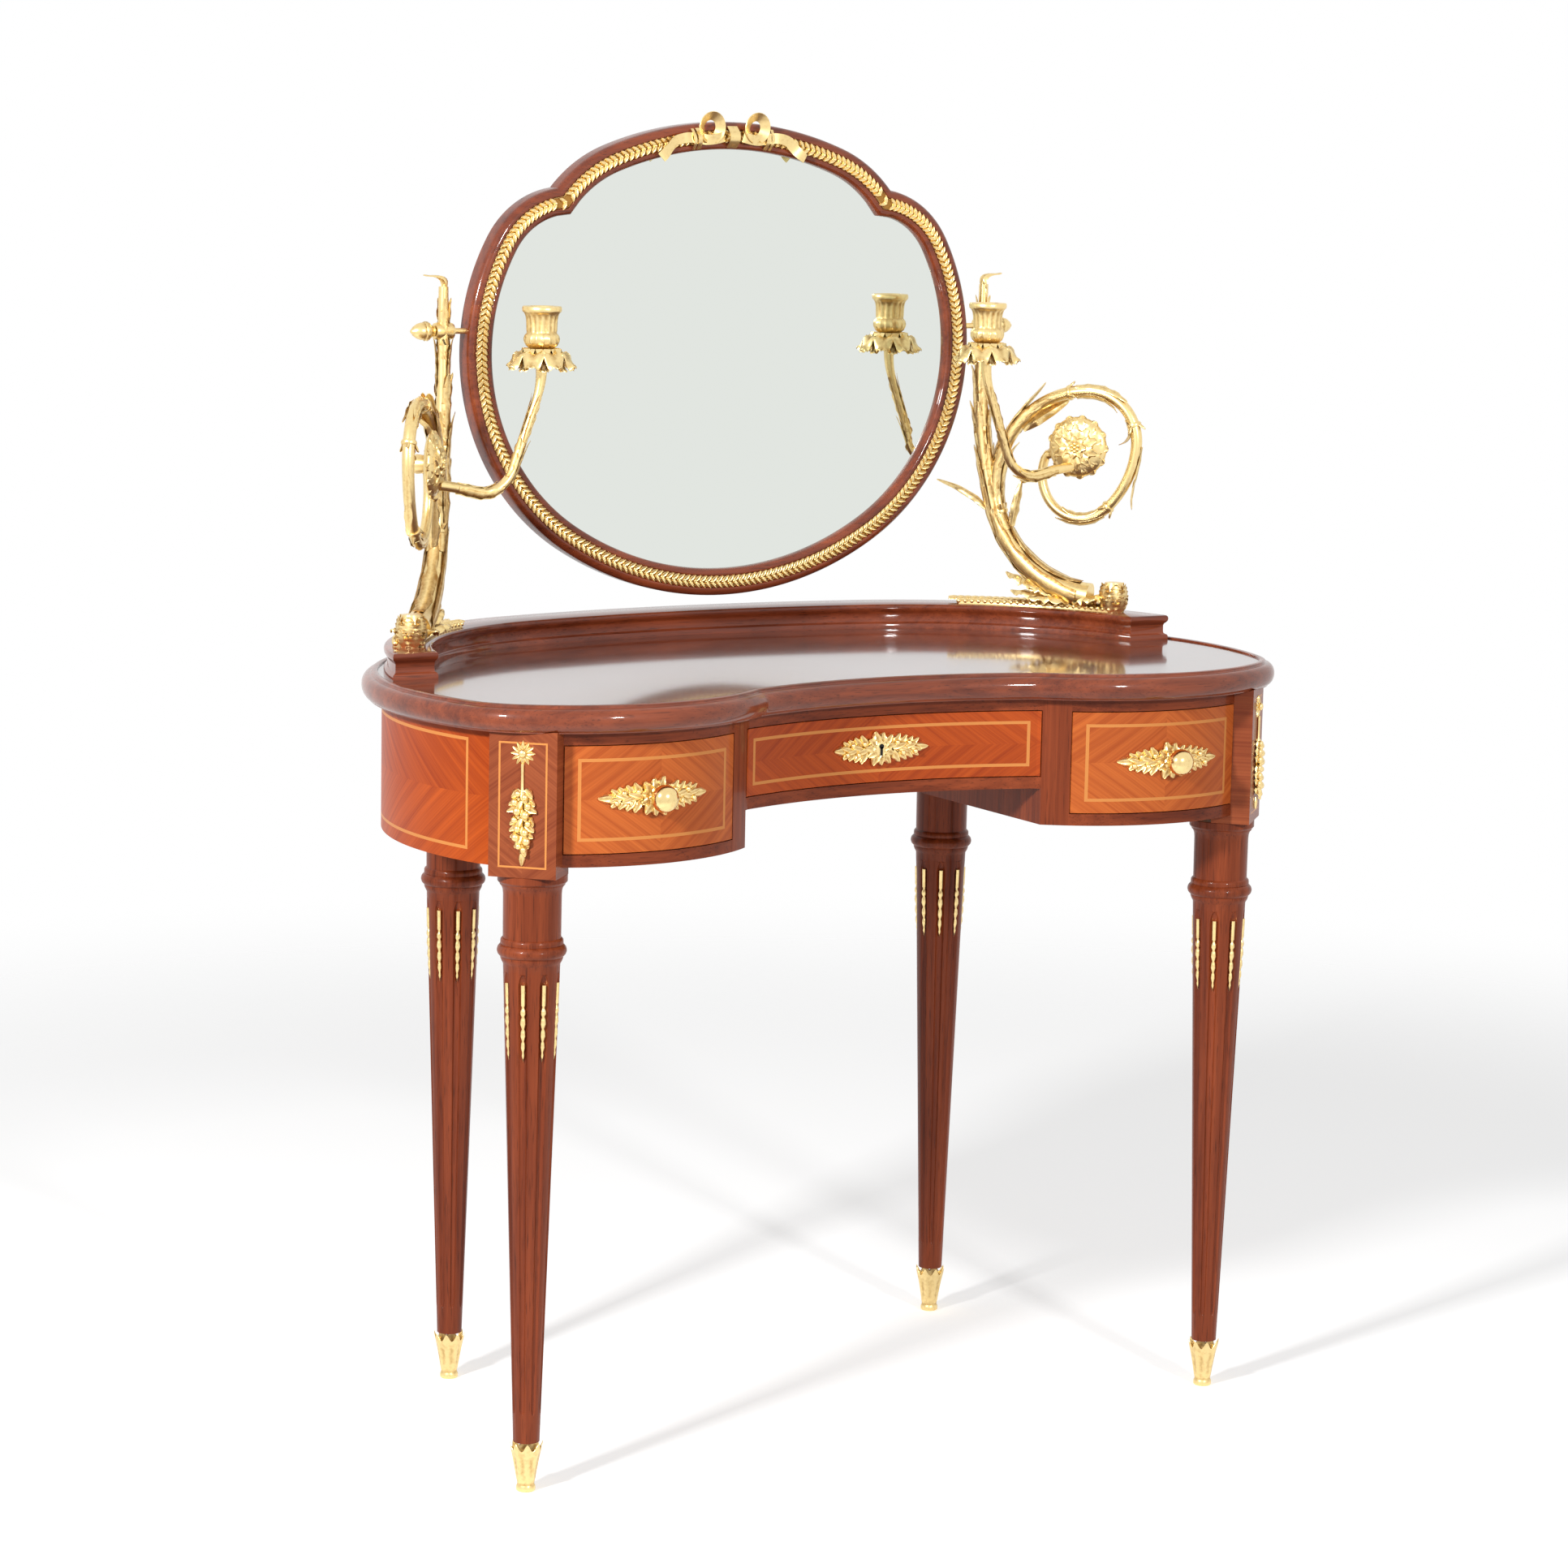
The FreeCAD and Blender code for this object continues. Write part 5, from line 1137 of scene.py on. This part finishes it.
def glass_frame(spot, inward):
    """A frame on the mirror's edge: first axis inwards across the frame, third axis to the back."""
    back = Vector((0, 1, 0))
    flat = Vector((inward.x, 0, inward.y))
    turn = Matrix((flat, back.cross(flat).normalized(), back)).transposed().to_4x4()
    return Matrix.Translation((spot.x * mm, MIRROR_Y, spot.y * mm)) @ turn


def mirror_arc(centre, radius, start, end):
    """Spots along one arc of the mirror's edge, each with its direction inwards."""
    count = max(2, round(abs(end - start) * radius / MIRROR_CHORD))
    rays = [polar(start + (end - start) * step / count) for step in range(count + 1)]
    return [(centre + ray * radius, -ray) for ray in rays]


right_notch = notch(0)
across_notch = (notch(NOTCH_DEPTH) - right_notch) / NOTCH_DEPTH
temple_end, crest_start = ray_angle(temple_centre, right_notch), ray_angle(crest_end_centre, right_notch)
right_edge = mirror_arc(base_centre, BASE_ARC, -math.pi / 2, SIDE_TURN)
right_edge += mirror_arc(side_centre, SIDE_ARC, SIDE_TURN, SHOULDER_TURN)[1:]
right_edge += mirror_arc(temple_centre, SHOULDER_ARC, SHOULDER_TURN, temple_end)[1:-1]
right_edge += [(right_notch, across_notch)]
right_edge += mirror_arc(crest_end_centre, CREST_END_ARC, crest_start, CREST_TURN)[1:]
right_edge += mirror_arc(crest_centre, CREST_ARC, CREST_TURN, math.pi / 2)[1:]
flip_side = Vector((-1, 1, 1))
left_edge = [(spot * flip_side, inward * flip_side) for spot, inward in reversed(right_edge)]
mirror_frames = [glass_frame(spot, inward) for spot, inward in right_edge + left_edge[1:]]
fit("moulded_frame", moulding(FRAME_PROFILE, mirror_frames), round_mahogany, "mirror", "mahogany",
    "mirror_frame", sharp=MOULDING_SHARP)

plate_silver, tree, shader, place = new_finish("plate_silver")
feed(tree, shader, {"Base Color": (0.76, 0.79, 0.75, 1), "Metallic": 1, "Roughness": 0.015})
bm = moulding(PLATE_PROFILE, mirror_frames, closed=False)
bmesh.ops.remove_doubles(bm, verts=bm.verts, dist=SEAM)
rims = [edge for edge in bm.edges if edge.is_boundary]
for depth in (PLATE_PROFILE[0][1], PLATE_PROFILE[-1][1]):
    rim = [edge for edge in rims if abs(edge.verts[0].co.y - MIRROR_Y - depth * mm) < RIM_REACH]
    bmesh.ops.contextual_create(bm, geom=rim)
fit("bevelled_plate", bm, plate_silver, "mirror", "mirror", "mirror_glass", sharp=BEVEL_SHARP)

# Gilt band and bow
# A cast band of small overlapping leaves let into the face of the frame, in gilt bronze, with a ribbon bow
# pinned over it at the top: two standing loops, a knot, and tails that lie along the band.
BAND_LEAF, BAND_LEAF_WIDTH, BAND_LEAF_THICK = 9.2 * mm, 6.2 * mm, 0.4 * mm
BAND_MIDDLE, BAND_SUNK = 15 * mm, 0.6 * mm
BAND_SECTION = [(9, 2.2), (9.2, 0.8), (10, 0.2), (10.6, 1.2), (19.4, 1.2), (20, 0.2), (20.8, 0.8), (21, 2.2)]
BOW_TOP, BOW_Y = 1333.4, MIRROR_Y - 3.4 * mm
RIBBON_HALF, RIBBON_THICK = 5.4 * mm, 1 * mm
LOOP_STEPS, LOOP_START, LOOP_SWEEP = 24, 70, 320
TAIL_STEPS, FOLD_STEPS = 32, 8
# gathers across the band: the knot between the loops and narrow folds outside them
FOLDS = [(0, 8, 6), (0.11, 7, 2.2), (-0.11, 7, 2.2), (0.125, 6.4, 1.6), (-0.125, 6.4, 1.6)]
# The band's ground gets extra painted shade, the shade that lies between the leaves; the band's leaves get
# less painted shade than the other gilding
painted_shade_gilding = gilt_bronze("painted_shade_gilding", 0.4, 0.6)
band_gilding = gilt_bronze("band_gilding", 0.3, -0.5)
gild("band_ground", moulding(BAND_SECTION, mirror_frames), painted_shade_gilding, "mirror", "mirror_band")
bm = bmesh.new()
for before, after in zip(mirror_frames, mirror_frames[1:]):
    along = (after.translation - before.translation).normalized()
    inward = before.to_3x3().col[0].normalized()
    root = before @ Vector((BAND_MIDDLE, 0, BAND_SUNK))
    bead(bm, root, 1.4 * mm)
    for lean in (1, -1):
        place = set_along(root, along - inward * lean, FORWARD)
        leaf(bm, place, BAND_LEAF, BAND_LEAF_WIDTH, swell=0.36, curl=0.05, lobes=2, rows=5,
             thick=BAND_LEAF_THICK)
gild("leaf_band", bm, band_gilding, "mirror", "mirror_band")


def ribbon(bm, path, face, half=RIBBON_HALF):
    """A flat ribbon along a path; face gives the direction of its breadth at each share of the path."""
    frames = []
    for index, spot in enumerate(path):
        along = (path[min(index + 1, len(path) - 1)] - path[max(index - 1, 0)]).normalized()
        breadth = face(index / (len(path) - 1))
        breadth = (breadth - along * breadth.dot(along)).normalized()
        turn = Matrix((breadth, along.cross(breadth), along)).transposed().to_4x4()
        frames.append(Matrix.Translation(spot) @ turn)
    section = [(-half, 0), (half, 0), (half, RIBBON_THICK), (-half, RIBBON_THICK)]
    start = chain_of(bm, [frames[0] @ Vector((b, t, 0)) for b, t in section], True)
    run_through(bm, start, frames, True)


def loop_ray(run):
    """The direction from the middle of a loop at a share of the way round it."""
    turn = math.radians(LOOP_SWEEP * run - LOOP_START)
    return Vector((-math.cos(turn), 0, math.sin(turn)))


def loop_path(hand):
    """The way round one standing loop."""
    path = []
    for step in range(LOOP_STEPS + 1):
        ray = loop_ray(step / LOOP_STEPS)
        across, rise = hand * (27 + 11 * ray.x) * mm, (BOW_TOP - 17.5 + 12.4 * ray.z) * mm
        path.append(Vector((across, BOW_Y - (2.6 + 1.6 * ray.z) * mm, rise)))
    return path


def tail_path(hand):
    """One waving tail along the crest, dropping at its end."""
    path = []
    for step in range(TAIL_STEPS + 1):
        share = step / TAIL_STEPS
        ray = polar(math.pi / 2 - hand * (0.03 + 0.21 * share))
        spot = crest_centre + ray * (CREST_ARC - 15 - 2.5 * math.sin(share * 8) - 34 * max(0, share - 0.72))
        path.append(Vector((spot.x * mm, BOW_Y - (2.6 + 1.3 * math.sin(share * 14)) * mm, spot.y * mm)))
    return path


def fold_path(away, height):
    """One gather over the band, at a turn from the middle of the crest."""
    path = []
    for step in range(FOLD_STEPS + 1):
        spot = crest_centre + polar(math.pi / 2 - away) * (CREST_ARC - 5 - 21 * step / FOLD_STEPS)
        swell = height * math.sin(math.pi * step / FOLD_STEPS) * mm
        path.append(Vector((spot.x * mm, BOW_Y + 2 * mm - swell, spot.y * mm)))
    return path


bm = bmesh.new()
for hand in (1, -1):
    ribbon(bm, loop_path(hand), lambda run: loop_ray(run) * Vector((hand, 1, 1)) * 0.8 + FORWARD * 0.6)
    ribbon(bm, tail_path(hand), lambda run: FORWARD * 0.3 * math.sin(run * 11) + UP)
for away, height, half in FOLDS:
    ribbon(bm, fold_path(away, height), lambda run: ASIDE, half * mm)
gild("ribbon_bow", bm, matt_gilding, "mirror", "mirror_bow")

# Pivot screws
# Gilt bronze thumb-screws with acorn heads; each passes through a support into the mirror's frame, and
# turning it nips the frame so that the glass keeps its tilt.
ACORN = [(0, 0), (3, 0), (3, 1), (5.4, 1), (5.6, 4), (8.6, 6.4), (10, 9.6), (9.7, 11.6), (8.8, 12.2),
         (8.9, 15), (7.6, 19.4), (5, 23.4), (2.6, 25.4), (1.6, 26.6), (0, 27)]
SHANK = [(0, -46.5), (3, -46.5), (3, 0.2), (0, 0.2)]
ACORN_LENGTH, ACORN_CUP = 27 * mm, (4 * mm, 11.8 * mm)
KNURLS, KNURL_TWIST, KNURL_DEPTH = 12, 1600, 0.05


def knurl(vert):
    """Cross-cuts the cup of the acorn."""
    if ACORN_CUP[0] < vert.co.z < ACORN_CUP[1]:
        turn = math.atan2(vert.co.y, vert.co.x)
        swell = 1 + KNURL_DEPTH * math.cos(turn * KNURLS + vert.co.z * KNURL_TWIST)
        vert.co.x *= swell
        vert.co.y *= swell


for hand, side in HANDS:
    low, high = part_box("pivot_screw_" + side)
    tip = Vector((high.x if hand > 0 else low.x, (low.y + high.y) / 2, (low.z + high.z) / 2))
    turn = Matrix.Rotation(hand * math.pi / 2, 4, "Y")
    place = Matrix.Translation(tip - ASIDE * hand * ACORN_LENGTH) @ turn
    bm = bmesh.new()
    turning(bm, ACORN, 24, place, knurl)
    turning(bm, SHANK, 16, place)
    gild("acorn_screw_" + side, bm, matt_gilding, "pivot_screw_" + side, "pivot_screw_" + side)

# Stage
# A pale floor that fades into a white ground, two small lamps, one from the left and one from the front,
# and the camera at the place from which the table is seen.
FLOOR_CENTRE = Vector((0.3, 0.3, 0))
FLOOR_RADIUS, FLOOR_CLEAR = 2.6, 1.2
FLOOR_DROP = 0.0005
FLOOR_GLOW = 0.5
SOFT_LIGHT = 0.28
LAMP_AIM, LAMP_WIDTH = Vector((0, 0, 0.6)), 0.3
CAMERA_PLACE = Vector((-2.33364, -3.93974, 1.35131))
CAMERA_YAW, CAMERA_DIP, CAMERA_ROLL = 0.532926, 0.1532435, 0.0200703
CAMERA_LENS = 102.416


def seen_rays(tree):
    """One for rays that show a thing to the camera, straight, mirrored or through glass."""
    rays = put(tree, "ShaderNodeLightPath").outputs
    seen = sums(tree, "MAXIMUM", rays["Is Camera Ray"], rays["Is Glossy Ray"])
    return sums(tree, "MAXIMUM", seen, rays["Is Transmission Ray"])


bm = bmesh.new()
bmesh.ops.create_circle(bm, cap_ends=True, segments=96, radius=FLOOR_RADIUS,
                        matrix=Matrix.Translation(FLOOR_CENTRE - UP * FLOOR_DROP))
mesh = bpy.data.meshes.new("floor")
bm.to_mesh(mesh)
bm.free()
floor_paper, tree, shader, place = new_finish("floor_paper")
centred = put(tree, "ShaderNodeVectorMath", {0: place, 1: FLOOR_CENTRE}, operation="SUBTRACT").outputs[0]
away = put(tree, "ShaderNodeVectorMath", {0: centred}, operation="LENGTH").outputs["Value"]
fade = put(tree, "ShaderNodeMapRange", {0: away, 1: FLOOR_CLEAR, 2: FLOOR_RADIUS, 3: 1.0, 4: 0.0},
           interpolation_type="SMOOTHSTEP")
feed(tree, shader, {"Base Color": (0.9, 0.9, 0.9, 1), "Roughness": 0.9, "Specular IOR Level": 0,
                    "Alpha": fade.outputs[0], "Emission Color": (1, 1, 1, 1),
                    "Emission Strength": sums(tree, "MULTIPLY", seen_rays(tree), FLOOR_GLOW)})
mesh.materials.append(floor_paper)
floor = bpy.data.objects.new("floor", mesh)
bpy.context.scene.collection.objects.link(floor)

world = bpy.data.worlds.new("white_studio")
world.use_nodes = True
tree = world.node_tree
tree.nodes.clear()
soft = put(tree, "ShaderNodeBackground", {0: (1, 1, 1, 1), 1: SOFT_LIGHT})
white = put(tree, "ShaderNodeBackground", {0: (1, 1, 1, 1), 1: 1.0})
mixed = put(tree, "ShaderNodeMixShader", {0: seen_rays(tree), 1: soft.outputs[0], 2: white.outputs[0]})
put(tree, "ShaderNodeOutputWorld", {0: mixed.outputs[0]})
bpy.context.scene.world = world


def lamp(name, spot, watts):
    """A small square lamp aimed at the middle of the table."""
    light = bpy.data.lights.new(name, "AREA")
    light.shape = "SQUARE"
    light.size = LAMP_WIDTH
    light.energy = watts
    made = bpy.data.objects.new(name, light)
    made.location = spot
    made.rotation_euler = (LAMP_AIM - Vector(spot)).to_track_quat("-Z", "Y").to_euler()
    bpy.context.scene.collection.objects.link(made)


lamp("key_lamp", (-2.57, -1.2, 2.0), 72)
lamp("front_lamp", (0.06, -3.7, 2.0), 44)
ahead = math.cos(CAMERA_DIP)
look = Vector((math.sin(CAMERA_YAW) * ahead, math.cos(CAMERA_YAW) * ahead, -math.sin(CAMERA_DIP)))
level = look.cross(UP).normalized()
rise = level.cross(look)
camera_x = level * math.cos(CAMERA_ROLL) + rise * math.sin(CAMERA_ROLL)
camera_y = rise * math.cos(CAMERA_ROLL) - level * math.sin(CAMERA_ROLL)
camera_data = bpy.data.cameras.new("camera")
camera_data.lens = CAMERA_LENS
camera_data.sensor_width = 36
camera = bpy.data.objects.new("camera", camera_data)
camera_turn = Matrix((camera_x, camera_y, -look)).transposed().to_4x4()
camera.matrix_world = Matrix.Translation(CAMERA_PLACE) @ camera_turn
bpy.context.scene.collection.objects.link(camera)
bpy.context.scene.camera = camera
bpy.context.scene.view_settings.view_transform = "Standard"
